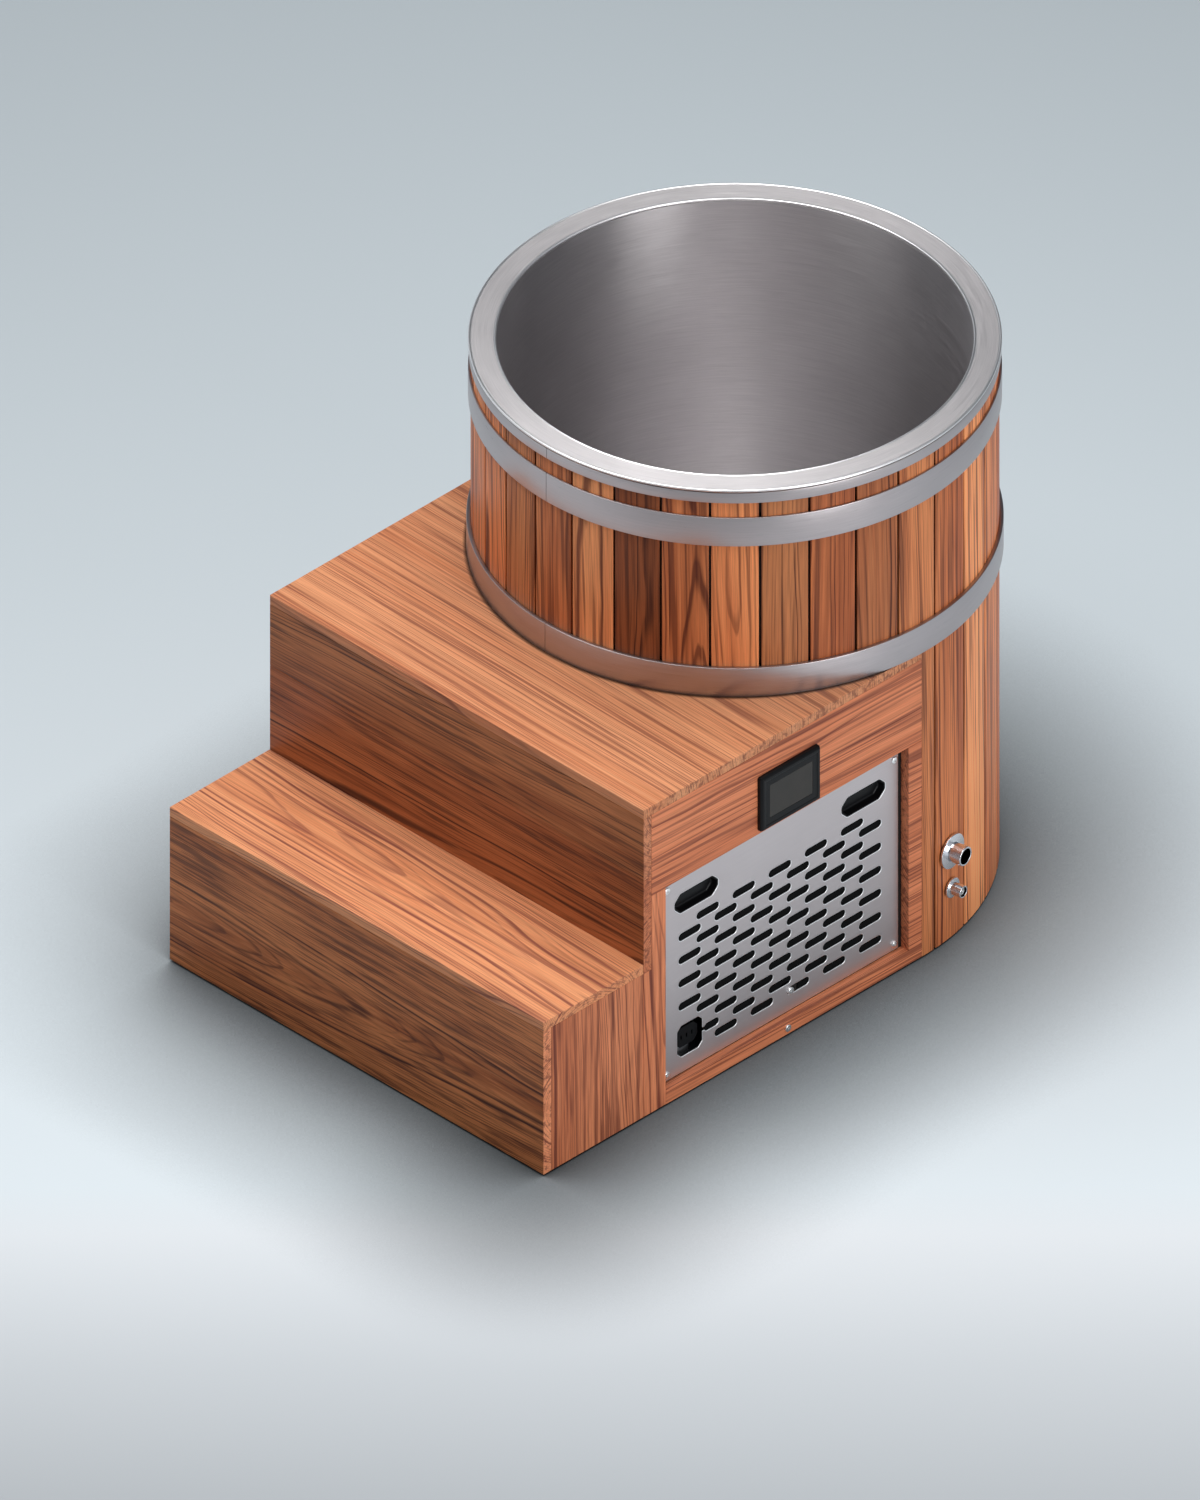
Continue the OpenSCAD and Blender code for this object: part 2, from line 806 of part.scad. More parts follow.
module insulation_jacket() {
    color("#e8e2d0") for (i = [0 : jacket_panels - 1]) difference() {
        rotate([0, 0, panel_turn + i * panel_pitch]) translate([0, 0, tub_floor_z])
            linear_extrude(height = tub_top_z - tub_floor_z) jacket_outline();
        wall_holes(tub_r, foam_r + over);
    }
}

module insulation_base() {
    color("#e8e2d0") translate([0, 0, base_top]) cylinder(r = foam_r, h = floor_foam_t);
}

module port_fitting(z, port_d, bore_d, flange_d, port_l) {
    face = port_out_x + seat + gasket_t;
    color("#c8c8cc") rotate([0, 0, port_angle]) difference() {
        union() {
            rod_x(tub_r - port_reach_in, 0, z, port_d / 2, face + flange_t + port_l - tub_r + port_reach_in);
            rod_x(face, 0, z, flange_d / 2, flange_t);
        }
        rod_x(tub_r - port_reach_in - over, 0, z, bore_d / 2, barrel_r);
    }
}

module large_port() {
    port_fitting(large_port_z, large_port_d, large_bore_d, large_flange_d, large_port_l);
}

module small_port() {
    port_fitting(small_port_z, small_port_d, small_bore_d, small_flange_d, small_port_l);
}

module port_gasket(z, port_d, flange_d) {
    rotate([0, 0, port_angle]) difference() {
        rod_x(port_out_x + seat, 0, z, flange_d / 2 - gasket_extra, gasket_t);
        rod_x(port_out_x - over, 0, z, port_d / 2 + hole_clear, gasket_t + 3 * over);
    }
}

module port_gaskets() {
    color(rubber_black) {
        port_gasket(large_port_z, large_port_d, large_flange_d);
        port_gasket(small_port_z, small_port_d, small_flange_d);
    }
}

// A six-sided nut whose far face is at x1, on a rod of radius r
module bulkhead_nut(angle, z, x1, r) {
    rotate([0, 0, angle]) translate([x1 - nut_t, 0, z]) rotate([0, 90, 0]) difference() {
        cylinder(r = r * nut_share, h = nut_t, $fn = 6);
        translate([0, 0, -over]) cylinder(r = r + running, h = nut_t + 2 * over);
    }
}

module bulkhead_nuts() {
    color("#c8c8cc") {
        bulkhead_nut(port_angle, large_port_z, tub_r - nut_seat, large_port_d / 2);
        bulkhead_nut(port_angle, small_port_z, tub_r - nut_seat, small_port_d / 2);
        bulkhead_nut(suction_angle, suction_z, foam_r + seat + nut_t, fitting_r);
        bulkhead_nut(return_angle, return_z, foam_r + seat + nut_t, fitting_r);
    }
}

module drain_plug() {
    end = port_out_x + seat + gasket_t + flange_t + small_port_l;
    color("#d6d6d8") rotate([0, 0, port_angle]) difference() {
        rod_x(end - plug_reach - plug_sink, 0, small_port_z, small_bore_d / 2 - running, plug_reach);
        rod_x(end - plug_sink - plug_socket_l, 0, small_port_z, plug_socket_r, plug_reach);
    }
}

module wall_fitting(angle, z) {
    inner = tub_r - flange_seat - fitting_flange_t;
    rotate([0, 0, angle]) difference() {
        union() {
            rod_x(inner, 0, z, fitting_r, fitting_out_r - inner);
            rod_x(inner, 0, z, fitting_flange_r, fitting_flange_t);
        }
        rod_x(inner - over, 0, z, fitting_bore_r, barrel_r);
    }
}

module wall_fittings() {
    color("#e6e6e6") {
        wall_fitting(suction_angle, suction_z);
        wall_fitting(return_angle, return_z);
    }
}

module suction_strainer() {
    back = tub_r - flange_seat - fitting_flange_t;
    hole_r = 2 * strainer_wall;
    ring_share = 0.6;
    color("#e6e6e6") rotate([0, 0, suction_angle]) difference() {
        rod_x(back - strainer_t, 0, suction_z, strainer_r, strainer_t);
        rod_x(back - strainer_t + strainer_wall, 0, suction_z, strainer_r - strainer_wall, strainer_t);
        rod_x(back - strainer_t - over, 0, suction_z, hole_r, strainer_t);
        for (i = [0 : 7])
            rod_x(back - strainer_t - over, strainer_r * ring_share * cos(i * 45),
                suction_z + strainer_r * ring_share * sin(i * 45), hole_r, strainer_t);
    }
}

module slots() {
    for (i = [0 : slot_columns - 1])
        for (j = [0 : slot_rows - 1])
            if (i != 0 || j > 1)
                translate([slot_start_y + i * slot_pitch_y, slot_low_z + (j + (i % 2) / 2) * slot_pitch_z]) {
                    square([slot_l - slot_h, slot_h], center = true);
                    for (s = [-1, 1]) translate([s * (slot_l - slot_h) / 2, 0]) circle(d = slot_h, $fn = 24);
                }
}

module service_panel() {
    color(steel) difference() {
        plate_x(panel_x, panel_t) difference() {
            translate([panel_y0, panel_z0]) square([panel_y1 - panel_y0, panel_z1 - panel_z0]);
            slots();
            translate([port_cut_y, port_cut_z]) cut_corners(port_cut_w, port_cut_h, port_chamfer);
            for (y = pull_y) translate([y, pull_z]) cut_corners(pull_w, pull_h, pull_chamfer);
        }
        screw_holes(screw_d / 2 + hole_clear);
    }
}

module pull_cups() {
    color(rubber_black) for (y = pull_y) difference() {
        union() {
            plate_x(panel_front_x - pull_depth - pull_wall, pull_depth + pull_wall - seat)
                translate([y, pull_z])
                    cut_corners(pull_w - 2 * pull_ease, pull_h - 2 * pull_ease, pull_chamfer);
            plate_x(panel_x - pull_wall, pull_wall) translate([y, pull_z])
                cut_corners(pull_w + 2 * pull_flange, pull_h + 2 * pull_flange, pull_chamfer);
        }
        plate_x(panel_front_x - pull_depth, pull_depth + over) translate([y, pull_z])
            cut_corners(pull_w - 2 * pull_wall, pull_h - 2 * pull_wall, pull_chamfer);
    }
}

module screw(x, y, z, grip) {
    rod_x(x, y, z, screw_head_d / 2, screw_head_h);
    rod_x(x - grip, y, z, screw_d / 2, grip + screw_head_h / 2);
}

module panel_screws() {
    grip = panel_t + screw_grip;
    color("#d6d6d8") {
        for (y = [panel_y0 + screw_inset_y, panel_y1 - screw_inset_y])
            for (z = [panel_z0 + screw_inset_z, panel_z1 - screw_inset_z])
                screw(panel_front_x, y, z, grip);
        screw(panel_front_x, fifth_screw_y, fifth_screw_z, grip);
    }
}

module dust_filter() {
    edge_y0 = panel_y0 + cleat_lap + filter_edge;
    edge_y1 = panel_y1 - cleat_lap - filter_edge;
    edge_z0 = base_top + cleat_lap + filter_edge;
    edge_z1 = pull_z - pull_h / 2 - pull_flange - filter_edge;
    color("#101012") plate_x(panel_x - seat - filter_sheet_t, filter_sheet_t) difference() {
        translate([edge_y0, edge_z0]) square([edge_y1 - edge_y0, edge_z1 - edge_z0]);
        translate([port_cut_y, port_cut_z])
            square([port_cut_w + 2 * filter_edge, port_cut_h + 2 * filter_edge], center = true);
        translate([fifth_screw_y, fifth_screw_z])
            square([cleat_block + 2 * filter_edge, cleat_block + 2 * filter_edge], center = true);
    }
}

module power_inlet() {
    color(rubber_black) difference() {
        plate_x(inlet_x, inlet_l) translate([port_cut_y, port_cut_z])
            cut_corners(inlet_w, inlet_h, port_chamfer);
        for (s = [-1, 0, 1]) plate_x(inlet_x + inlet_l - pin_slot_depth, pin_slot_depth + over)
            translate([port_cut_y + s * pin_pitch, port_cut_z])
                square([pin_slot_w, pin_slot_h], center = true);
    }
}

module controller_bezel() {
    color(rubber_black) difference() {
        hull() {
            plate_x(wall_x, bezel_step) translate([controller_y, controller_z])
                cut_corners(bezel_w, bezel_h, bezel_bevel / 2);
            plate_x(wall_x, bezel_t) translate([controller_y, controller_z])
                cut_corners(bezel_w - 2 * bezel_bevel, bezel_h - 2 * bezel_bevel, bezel_bevel / 2);
        }
        plate_x(wall_x + bezel_t - screen_sink - screen_t, bezel_t) translate([controller_y, controller_z])
            square([screen_w + 2 * seat, screen_h + 2 * seat], center = true);
    }
}

module controller_screen() {
    color("#3a3a3c") plate_x(wall_x + bezel_t - screen_sink - screen_t, screen_t)
        translate([controller_y, controller_z]) square([screen_w, screen_h], center = true);
}

module controller_body() {
    color(rubber_black) plate_x(body_x, wall_x - body_x) translate([controller_y, controller_z])
        square([body_w, body_h], center = true);
}

module rail_screw() {
    color("#d6d6d8") screw(wall_x, controller_y, rail_screw_z, 2 * batten);
}

module control_box() {
    color("#5c6066") span([-control_x, control_y0, base_top], [control_x, control_y1, base_top + control_h]);
}

module wiring() {
    color(rubber_black) {
        route(control_cable, cable_d / 2, line_elbow);
        route(power_cable, cable_d / 2, line_elbow);
    }
}

module component_tray() {
    color("#8d9095") difference() {
        union() {
            span([tray_x0, tray_y0, base_top], [tray_x1, tray_y1, tray_top]);
            span([inlet_x - sheet_t, port_cut_y - inlet_w / 2 - bracket_side, base_top],
                [inlet_x, port_cut_y + inlet_w / 2 + bracket_side, base_top + bracket_h]);
        }
        translate([0, 0, base_top - over]) cylinder(r = foam_r + jacket_clear, h = 2 * bracket_h);
        span([wall_in - batten - seat, tray_y0 - over, base_top - over],
            [wall_in, upper_in_y + batten + seat, tray_top + over]);
    }
}

module condenser_coil() {
    pitch = coil_w / coil_fins;
    color("#9a9da0") difference() {
        union() {
            span([coil_x, coil_y0 + seat, coil_z0 + seat],
                [coil_x + coil_t, coil_y0 + coil_w - seat, coil_top - seat]);
            for (y = coil_port_y)
                translate([line_x, y, coil_top - over]) cylinder(d = line_d, h = coil_stub + over);
        }
        for (i = [0 : coil_fins - 1])
            span([coil_x + coil_t - fin_deep, coil_y0 + (i + fin_gap_share) * pitch, coil_z0 + 2 * fin_deep],
                [coil_x + coil_t + over, coil_y0 + (i + 2 * fin_gap_share) * pitch, coil_top - 2 * fin_deep]);
    }
}

module fan_shroud() {
    outer_y0 = coil_y0 - sheet_t;
    outer_y1 = coil_y0 + coil_w + sheet_t;
    color("#8d9095") difference() {
        union() {
            span([shroud_x, outer_y0, coil_z0 - sheet_t], [shroud_x + sheet_t, outer_y1, coil_top + sheet_t]);
            for (y = [outer_y0, outer_y1 - sheet_t])
                span([shroud_x, y, tray_top], [coil_x + coil_t, y + sheet_t, coil_top + sheet_t]);
            for (z = [coil_z0 - sheet_t, coil_top])
                span([shroud_x, outer_y0, z], [coil_x + coil_t, outer_y1, z + sheet_t]);
        }
        rod_x(shroud_x - over, fan_y, fan_z, fan_d / 2 + fan_ring_clear, sheet_t + 2 * over);
        for (y = coil_port_y)
            translate([line_x, y, coil_top - over]) cylinder(r = line_d / 2 + hole_clear, h = coil_stub);
    }
}

module motor_bracket() {
    y0 = fan_y - arm_w / 2;
    z1 = coil_top + arm_drop;
    color("#8d9095") difference() {
        union() {
            span([arm_x, y0, arm_z0], [arm_x + arm_t, y0 + arm_w, z1]);
            for (z = [arm_z0, z1 - arm_t]) span([arm_x, y0, z], [shroud_x, y0 + arm_w, z + arm_t]);
        }
        rod_x(arm_x - over, fan_y, fan_z, shaft_r + shaft_clear, arm_t + 2 * over);
    }
}

module fan_motor() {
    color("#4a4d52") difference() {
        rod_x(arm_x - fan_motor_l, fan_y, fan_z, fan_motor_r, fan_motor_l);
        rod_x(arm_x - shaft_in, fan_y, fan_z, shaft_r + running, shaft_in + over);
    }
}

module fan_rotor() {
    reach = fan_d / 2 - fan_tip_clear;
    color("#2a2c30") union() {
        rod_x(fan_x, fan_y, fan_z, fan_hub_r, fan_hub_l);
        rod_x(arm_x - shaft_in + over, fan_y, fan_z, shaft_r, fan_x - arm_x + shaft_in);
        for (i = [0 : fan_blades - 1]) translate([fan_x + fan_hub_l / 2, fan_y, fan_z])
            rotate([i * 360 / fan_blades, 0, 0]) rotate([0, 0, 90 - fan_pitch])
                translate([-fan_blade_w / 2, -fan_blade_t / 2, fan_hub_r - 2 * fan_blade_t])
                    cube([fan_blade_w, fan_blade_t, reach - fan_hub_r]);
    }
}

module compressor() {
    z0 = base_top + mount_h;
    r = compressor_d / 2;
    color("#1f2124") translate([compressor_x, compressor_y, z0]) union() {
        translate([-compressor_foot / 2, -compressor_foot / 2, 0])
            cube([compressor_foot, compressor_foot, compressor_foot_t]);
        rotate_extrude() polygon([[0, 0], [r, 0], [r, compressor_h - compressor_shoulder],
            [r * shoulder_share, compressor_h - compressor_shoulder / 2],
            [compressor_top_r, compressor_foot_t + compressor_h],
            [0, compressor_foot_t + compressor_h]]);
    }
}

module compressor_mounts() {
    color(rubber_black) for (x = [-1, 1]) for (y = [-1, 1])
        translate([compressor_x + x * mount_reach, compressor_y + y * mount_reach, base_top])
            cylinder(r = mount_r, h = mount_h);
}

module heat_exchanger() {
    r = exchanger_d / 2;
    color("#30343a") difference() {
        union() {
            translate([exchanger_x, exchanger_y, base_top]) cylinder(r = r, h = exchanger_h);
            translate([exchanger_x, exchanger_y, exchanger_top]) cylinder(d = pipe_d, h = exchanger_stub);
            radial(return_angle, return_z, return_far, return_far + r, pipe_d / 2);
        }
        translate([exchanger_x, exchanger_y, base_top + exchanger_cap])
            cylinder(r = r - exchanger_wall, h = exchanger_h - 2 * exchanger_cap);
        translate([exchanger_x, exchanger_y, exchanger_top - 2 * exchanger_cap])
            cylinder(r = pipe_d / 2 - pipe_wall, h = exchanger_stub + 3 * exchanger_cap);
        radial(return_angle, return_z, return_far - over, return_far + r, pipe_d / 2 - pipe_wall);
    }
}

module pump_body() {
    r = pump_d / 2;
    color("#30343a") difference() {
        union() {
            rod_x(pump_x, pump_y, pump_z, r, pump_l);
            rod_x(pump_x + pump_l, pump_y, pump_z, pipe_d / 2, pump_inlet_l);
            translate([discharge_x, pump_y, pump_z]) cylinder(d = pipe_d, h = r + exchanger_stub);
            span([pump_x, pump_y - pump_foot_w / 2, base_top],
                [pump_x + pump_l, pump_y + pump_foot_w / 2, pump_z]);
        }
        rod_x(pump_x + pump_wall, pump_y, pump_z, r - pump_wall, pump_l - 2 * pump_wall);
        rod_x(pump_x + pump_wall, pump_y, pump_z, pipe_d / 2 - pipe_wall, pump_l + pump_inlet_l);
        translate([discharge_x, pump_y, pump_z])
            cylinder(r = pipe_d / 2 - pipe_wall, h = r + exchanger_stub + over);
        rod_x(pump_x - over, pump_y, pump_z, pump_shaft_r + shaft_clear, pump_wall + 2 * over);
    }
}

module pump_motor() {
    color("#4a4d52") difference() {
        union() {
            rod_x(pump_x - pump_motor_l, pump_y, pump_z, pump_motor_r, pump_motor_l);
            span([pump_x - pump_motor_l, pump_y - pump_foot_w / 2, base_top],
                [pump_x - pump_motor_l / 4, pump_y + pump_foot_w / 2, pump_z]);
        }
        rod_x(pump_x - pump_shaft_in, pump_y, pump_z, pump_shaft_r + running, pump_shaft_in + over);
    }
}

module pump_impeller() {
    x0 = pump_x + pump_wall + impeller_gap;
    color("#c8c8cc") union() {
        rod_x(x0, pump_y, pump_z, impeller_r, vane_t);
        rod_x(pump_x - pump_shaft_in + over, pump_y, pump_z, pump_shaft_r,
            pump_shaft_in + pump_wall + 2 * impeller_gap);
        for (i = [0 : vanes - 1]) translate([x0, pump_y, pump_z]) rotate([i * 360 / vanes, 0, 0])
            translate([0, -vane_t / 2, pump_shaft_r / 2])
                cube([impeller_l - impeller_gap, vane_t, impeller_r * vane_share]);
    }
}

module filter_housing() {
    r = filter_d / 2;
    color("#e6e6e6") difference() {
        union() {
            translate([filter_x, filter_y, tray_top]) cylinder(r = r, h = filter_h);
            for (z = [filter_in_z, pump_z])
                rod_x(filter_x - r - filter_stub, filter_y, z, pipe_d / 2, r + filter_stub);
        }
        translate([filter_x, filter_y, tray_top + filter_wall]) cylinder(r = r - filter_wall, h = filter_h);
        for (z = [filter_in_z, pump_z])
            rod_x(filter_x - r - filter_stub - over, filter_y, z, pipe_d / 2 - pipe_wall, r + filter_stub);
    }
}

module filter_cap() {
    r = filter_d / 2;
    color("#2c4a7c") translate([filter_x, filter_y, tray_top + filter_h + contact]) union() {
        cylinder(r = r, h = filter_cap_h);
        translate([0, 0, -filter_cap_lap]) cylinder(r = r - filter_wall - running, h = filter_cap_lap + over);
        for (i = [0 : 5]) rotate([0, 0, i * 60]) translate([r - filter_grip, -filter_grip, over])
            cube([2 * filter_grip, 2 * filter_grip, filter_cap_h - 2 * over]);
    }
}

module filter_cartridge() {
    z0 = tray_top + filter_wall;
    color("#f0efe8") translate([filter_x, filter_y, z0]) difference() {
        cylinder(r = cartridge_r, h = filter_h - filter_wall - filter_cap_lap - seat);
        translate([0, 0, filter_wall]) cylinder(r = cartridge_bore, h = filter_h);
    }
}

module water_pipes() {
    color("#e6e6e6") {
        pipe(suction_pipe, pipe_d / 2, pipe_wall);
        pipe(pump_pipe, pipe_d / 2, pipe_wall);
        pipe(exchanger_pipe, pipe_d / 2, pipe_wall);
        pipe(return_pipe, pipe_d / 2, pipe_wall);
    }
}

module refrigerant_lines() {
    color(copper) {
        route(discharge_line, line_d / 2, line_elbow);
        route(liquid_line, line_d / 2, line_elbow);
        route(suction_line, line_d / 2, line_elbow);
    }
}

base_panel();
feet();
lower_riser();
lower_tread();
upper_riser();
deck_panel();
step_side_right();
step_side_left();
side_wall_left();
stile_right();
top_rail_right();
bottom_rail_right();
rear_stile_right();
panel_cleats();
frame_battens();
staves_front();
staves_back();
port_stave();
tub_liner();
rim_ring();
top_band();
upper_hoop();
lower_hoop();
insulation_jacket();
insulation_base();
large_port();
small_port();
port_gaskets();
bulkhead_nuts();
drain_plug();
wall_fittings();
suction_strainer();
service_panel();
pull_cups();
panel_screws();
dust_filter();
power_inlet();
controller_bezel();
controller_screen();
controller_body();
rail_screw();
control_box();
wiring();
component_tray();
condenser_coil();
fan_shroud();
motor_bracket();
fan_motor();
fan_rotor();
compressor();
compressor_mounts();
heat_exchanger();
pump_body();
pump_motor();
pump_impeller();
filter_housing();
filter_cap();
filter_cartridge();
water_pipes();
refrigerant_lines();
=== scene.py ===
"""A wood-stave barrel plunge tub behind a two-step box that houses its chiller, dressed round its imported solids."""
import math

import bmesh
import bpy
import numpy as np
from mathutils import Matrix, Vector
from mathutils.geometry import tessellate_polygon


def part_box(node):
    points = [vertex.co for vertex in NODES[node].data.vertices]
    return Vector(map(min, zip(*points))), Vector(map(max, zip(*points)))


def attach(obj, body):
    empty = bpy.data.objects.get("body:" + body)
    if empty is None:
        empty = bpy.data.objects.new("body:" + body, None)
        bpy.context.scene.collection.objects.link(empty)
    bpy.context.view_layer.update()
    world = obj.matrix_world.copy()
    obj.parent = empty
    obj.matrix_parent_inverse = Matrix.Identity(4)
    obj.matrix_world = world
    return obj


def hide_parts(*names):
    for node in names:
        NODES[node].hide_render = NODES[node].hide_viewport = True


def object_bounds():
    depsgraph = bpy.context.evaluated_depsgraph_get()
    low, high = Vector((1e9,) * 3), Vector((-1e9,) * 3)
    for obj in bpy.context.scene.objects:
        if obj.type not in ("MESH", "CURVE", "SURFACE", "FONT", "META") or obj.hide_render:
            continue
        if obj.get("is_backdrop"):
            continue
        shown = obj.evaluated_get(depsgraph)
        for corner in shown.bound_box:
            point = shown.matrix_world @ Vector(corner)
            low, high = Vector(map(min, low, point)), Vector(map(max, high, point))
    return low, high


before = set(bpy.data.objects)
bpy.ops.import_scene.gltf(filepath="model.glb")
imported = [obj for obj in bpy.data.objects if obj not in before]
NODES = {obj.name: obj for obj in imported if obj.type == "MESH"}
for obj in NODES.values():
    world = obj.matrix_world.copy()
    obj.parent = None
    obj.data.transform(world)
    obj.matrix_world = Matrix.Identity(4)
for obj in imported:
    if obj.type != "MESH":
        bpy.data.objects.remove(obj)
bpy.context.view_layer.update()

# Camera. A true isometric view without perspective, from the corner between the steps and the
# service side; it looks down by the angle whose tangent is one over root two.
VIEW_CENTRE = Vector((-0.2168, -0.0864, 0.1305))
VIEW_HEIGHT = 2.382
VIEW_DISTANCE = 6.0


def placed(name, data):
    """A new object of a mesh, a lamp or a camera, in the scene."""
    made = bpy.data.objects.new(name, data)
    bpy.context.scene.collection.objects.link(made)
    return made


camera = placed("camera", bpy.data.cameras.new("camera"))
camera.data.type = "ORTHO"
camera.data.ortho_scale = VIEW_HEIGHT
camera.data.clip_end = 30.0
view_back = Vector((1, -1, 1)).normalized()
camera.location = VIEW_CENTRE + view_back * VIEW_DISTANCE
camera.rotation_euler = (-view_back).to_track_quat("-Z", "Y").to_euler()
bpy.context.scene.camera = camera
bpy.context.scene.view_settings.view_transform = "Standard"


def colour(red, green, blue):
    """A screen colour of 0 to 255 a channel, as the linear value that a shader takes."""
    c = np.array([red, green, blue]) / 255.0
    return (*np.where(c <= 0.04045, c / 12.92, ((c + 0.055) / 1.055) ** 2.4).tolist(), 1.0)


def material(name):
    """A new material with its node tree and its one Principled shader."""
    m = bpy.data.materials.new(name)
    m.use_nodes = True
    return m, *insides(m)


def insides(m):
    """A material's node tree and its one Principled shader."""
    return m.node_tree, m.node_tree.nodes["Principled BSDF"]


def feed(n, inputs):
    """Links or sets a node's inputs, given as pairs of socket and value; returns the node."""
    for key, value in dict(inputs).items():
        if isinstance(value, bpy.types.NodeSocket):
            n.id_data.links.new(value, n.inputs[key])
        else:
            n.inputs[key].default_value = value
    return n


def source(shader, key):
    """The socket that already feeds an input of a shader."""
    return shader.inputs[key].links[0].from_socket


def wire(tree, kind, inputs=(), **settings):
    """Adds a node, sets its settings and feeds its inputs; returns the node."""
    n = tree.nodes.new(kind)
    for key, value in settings.items():
        setattr(n, key, value)
    return feed(n, inputs)


def tree_of(*values):
    """The node tree of the first socket among some values."""
    return next(v.id_data for v in values if isinstance(v, bpy.types.NodeSocket))


def maths(operation, *values):
    """One Math node; returns its output."""
    return wire(tree_of(*values), "ShaderNodeMath", enumerate(values), operation=operation).outputs[0]


def vectors(operation, *values):
    """One Vector Math node; returns its output."""
    n = wire(tree_of(*values), "ShaderNodeVectorMath", enumerate(values), operation=operation)
    return n.outputs["Value" if operation in ("LENGTH", "DOT_PRODUCT") else "Vector"]


def scaled(vector, factor):
    """A vector or a colour times a number."""
    inputs = {0: vector, "Scale": factor}
    return wire(tree_of(vector, factor), "ShaderNodeVectorMath", inputs, operation="SCALE").outputs["Vector"]


def mapped(value, low, high, start=0.0, stop=1.0, kind="LINEAR"):
    """A value carried from one pair of ends to another, held at both."""
    ends = {"Value": value, "From Min": low, "From Max": high, "To Min": start, "To Max": stop}
    return wire(value.id_data, "ShaderNodeMapRange", ends, interpolation_type=kind).outputs["Result"]


def here(tree):
    """The place in the part's frame, in metres."""
    return wire(tree, "ShaderNodeTexCoord").outputs["Object"]


def part_of(vector, axis):
    """One of a vector's three parts."""
    return wire(vector.id_data, "ShaderNodeSeparateXYZ", {0: vector}).outputs[axis]


def radius(place):
    """A place's distance from the barrel's axis."""
    return vectors("LENGTH", vectors("MULTIPLY", place, (1.0, 1.0, 0.0)))


def noise(place, scale, detail=2.0, rough=0.5):
    """Noise over a place. Its scale is one number, or one for each axis."""
    if isinstance(scale, tuple):
        place, scale = vectors("MULTIPLY", place, scale), 1.0
    inputs = {"Vector": place, "Scale": scale, "Detail": detail, "Roughness": rough}
    return wire(place.id_data, "ShaderNodeTexNoise", inputs).outputs["Fac"]


def emboss(shader, height, strength, distance):
    """Gives a shader the normal of a relief."""
    bump = wire(shader.id_data, "ShaderNodeBump", {"Height": height, "Strength": strength, "Distance": distance})
    feed(shader, {"Normal": bump.outputs[0]})


def ramp(factor, stops):
    """A Color Ramp between stops of place and screen colour, or of place and grey; returns its colour."""
    n = wire(factor.id_data, "ShaderNodeValToRGB", {"Fac": factor})
    band = n.color_ramp
    while len(band.elements) < len(stops):
        band.elements.new(0.5)
    for e, (place, shade) in zip(band.elements, stops):
        e.position = place
        e.color = colour(*shade) if isinstance(shade, tuple) else (shade, shade, shade, 1.0)
    return n.outputs["Color"]


def blend_colour(factor, a, b, mode="MIX"):
    """A colour Mix node; returns its result."""
    inputs = {0: factor, 6: a, 7: b}
    return wire(tree_of(factor, a, b), "ShaderNodeMix", inputs, data_type="RGBA", blend_type=mode).outputs[2]


def group(name, takes, gives):
    """A node group whose sockets are named under their kinds; returns it and its two inner ends."""
    g = bpy.data.node_groups.new(name, "ShaderNodeTree")
    for way, sockets in (("INPUT", takes), ("OUTPUT", gives)):
        for kind, names in sockets.items():
            for key in names:
                g.interface.new_socket(key, in_out=way, socket_type="NodeSocket" + kind)
    return g, g.nodes.new("NodeGroupInput").outputs, g.nodes.new("NodeGroupOutput")


# Studio. A plain pale floor that goes up into a pale backdrop by its colour alone, with a painted shadow in
# that colour: darker where ambient occlusion finds the object near, and in a soft pool round the steps'
# front corner. It is lit by a wide soft lamp above and behind, a softer one on the service side and a weak
# one before the steps.
FLOOR_HALF, FLOOR_SHADE, FLOOR_GLOW = 40.0, 0.62, 0.375
TONE_NEAR, TONE_FAR, FADE_NEAR, FADE_FAR = -2.6, 3.4, 2.9, 5.2
CONTACT_SHADE_REACH, CONTACT_SHADE_POWER = 0.46, 2.5
FRONT_CORNER, SHADOW_POOL_REACH, SHADOW_POOL_DARK = (0.47, -0.92, 0.0), 0.42, 0.52
BACKDROP = colour(214, 223, 228)
floor_mesh = bpy.data.meshes.new("studio_floor")
corners = [(x * FLOOR_HALF, y * FLOOR_HALF, 0.0) for x, y in ((-1, -1), (1, -1), (1, 1), (-1, 1))]
floor_mesh.from_pydata(corners, [], [(0, 1, 2, 3)])
floor = placed("studio_floor", floor_mesh)
floor_paint, tree, shader = material("studio_floor")
place = here(tree)
share = mapped(vectors("DOT_PRODUCT", place, (-1.0, 1.0, 0.0)), TONE_NEAR, TONE_FAR)
tone = ramp(share, [(0.0, (186, 191, 195)), (0.10, (208, 213, 217)), (0.185, (230, 235, 239)),
                    (0.215, (228, 237, 242)), (0.38, (219, 228, 233)), (0.62, (208, 217, 222)),
                    (1.0, (192, 201, 206))])
# Painted shadow: the floor's tone is darkened by ambient occlusion near the object and in a soft pool round the
# steps' front corner; the glow that the camera sees carries the same painted shadow.
painted_contact_shade = wire(tree, "ShaderNodeAmbientOcclusion", {"Distance": CONTACT_SHADE_REACH}, samples=8).outputs["AO"]
reach = vectors("LENGTH", vectors("SUBTRACT", place, FRONT_CORNER))
painted_shadow_pool = mapped(reach, 0.0, SHADOW_POOL_REACH, SHADOW_POOL_DARK, 1.0, "SMOOTHSTEP")
tone = scaled(tone, maths("MULTIPLY", maths("POWER", painted_contact_shade, CONTACT_SHADE_POWER), painted_shadow_pool))
far = mapped(vectors("LENGTH", place), FADE_NEAR, FADE_FAR, kind="SMOOTHSTEP")
rays = wire(tree, "ShaderNodeLightPath").outputs
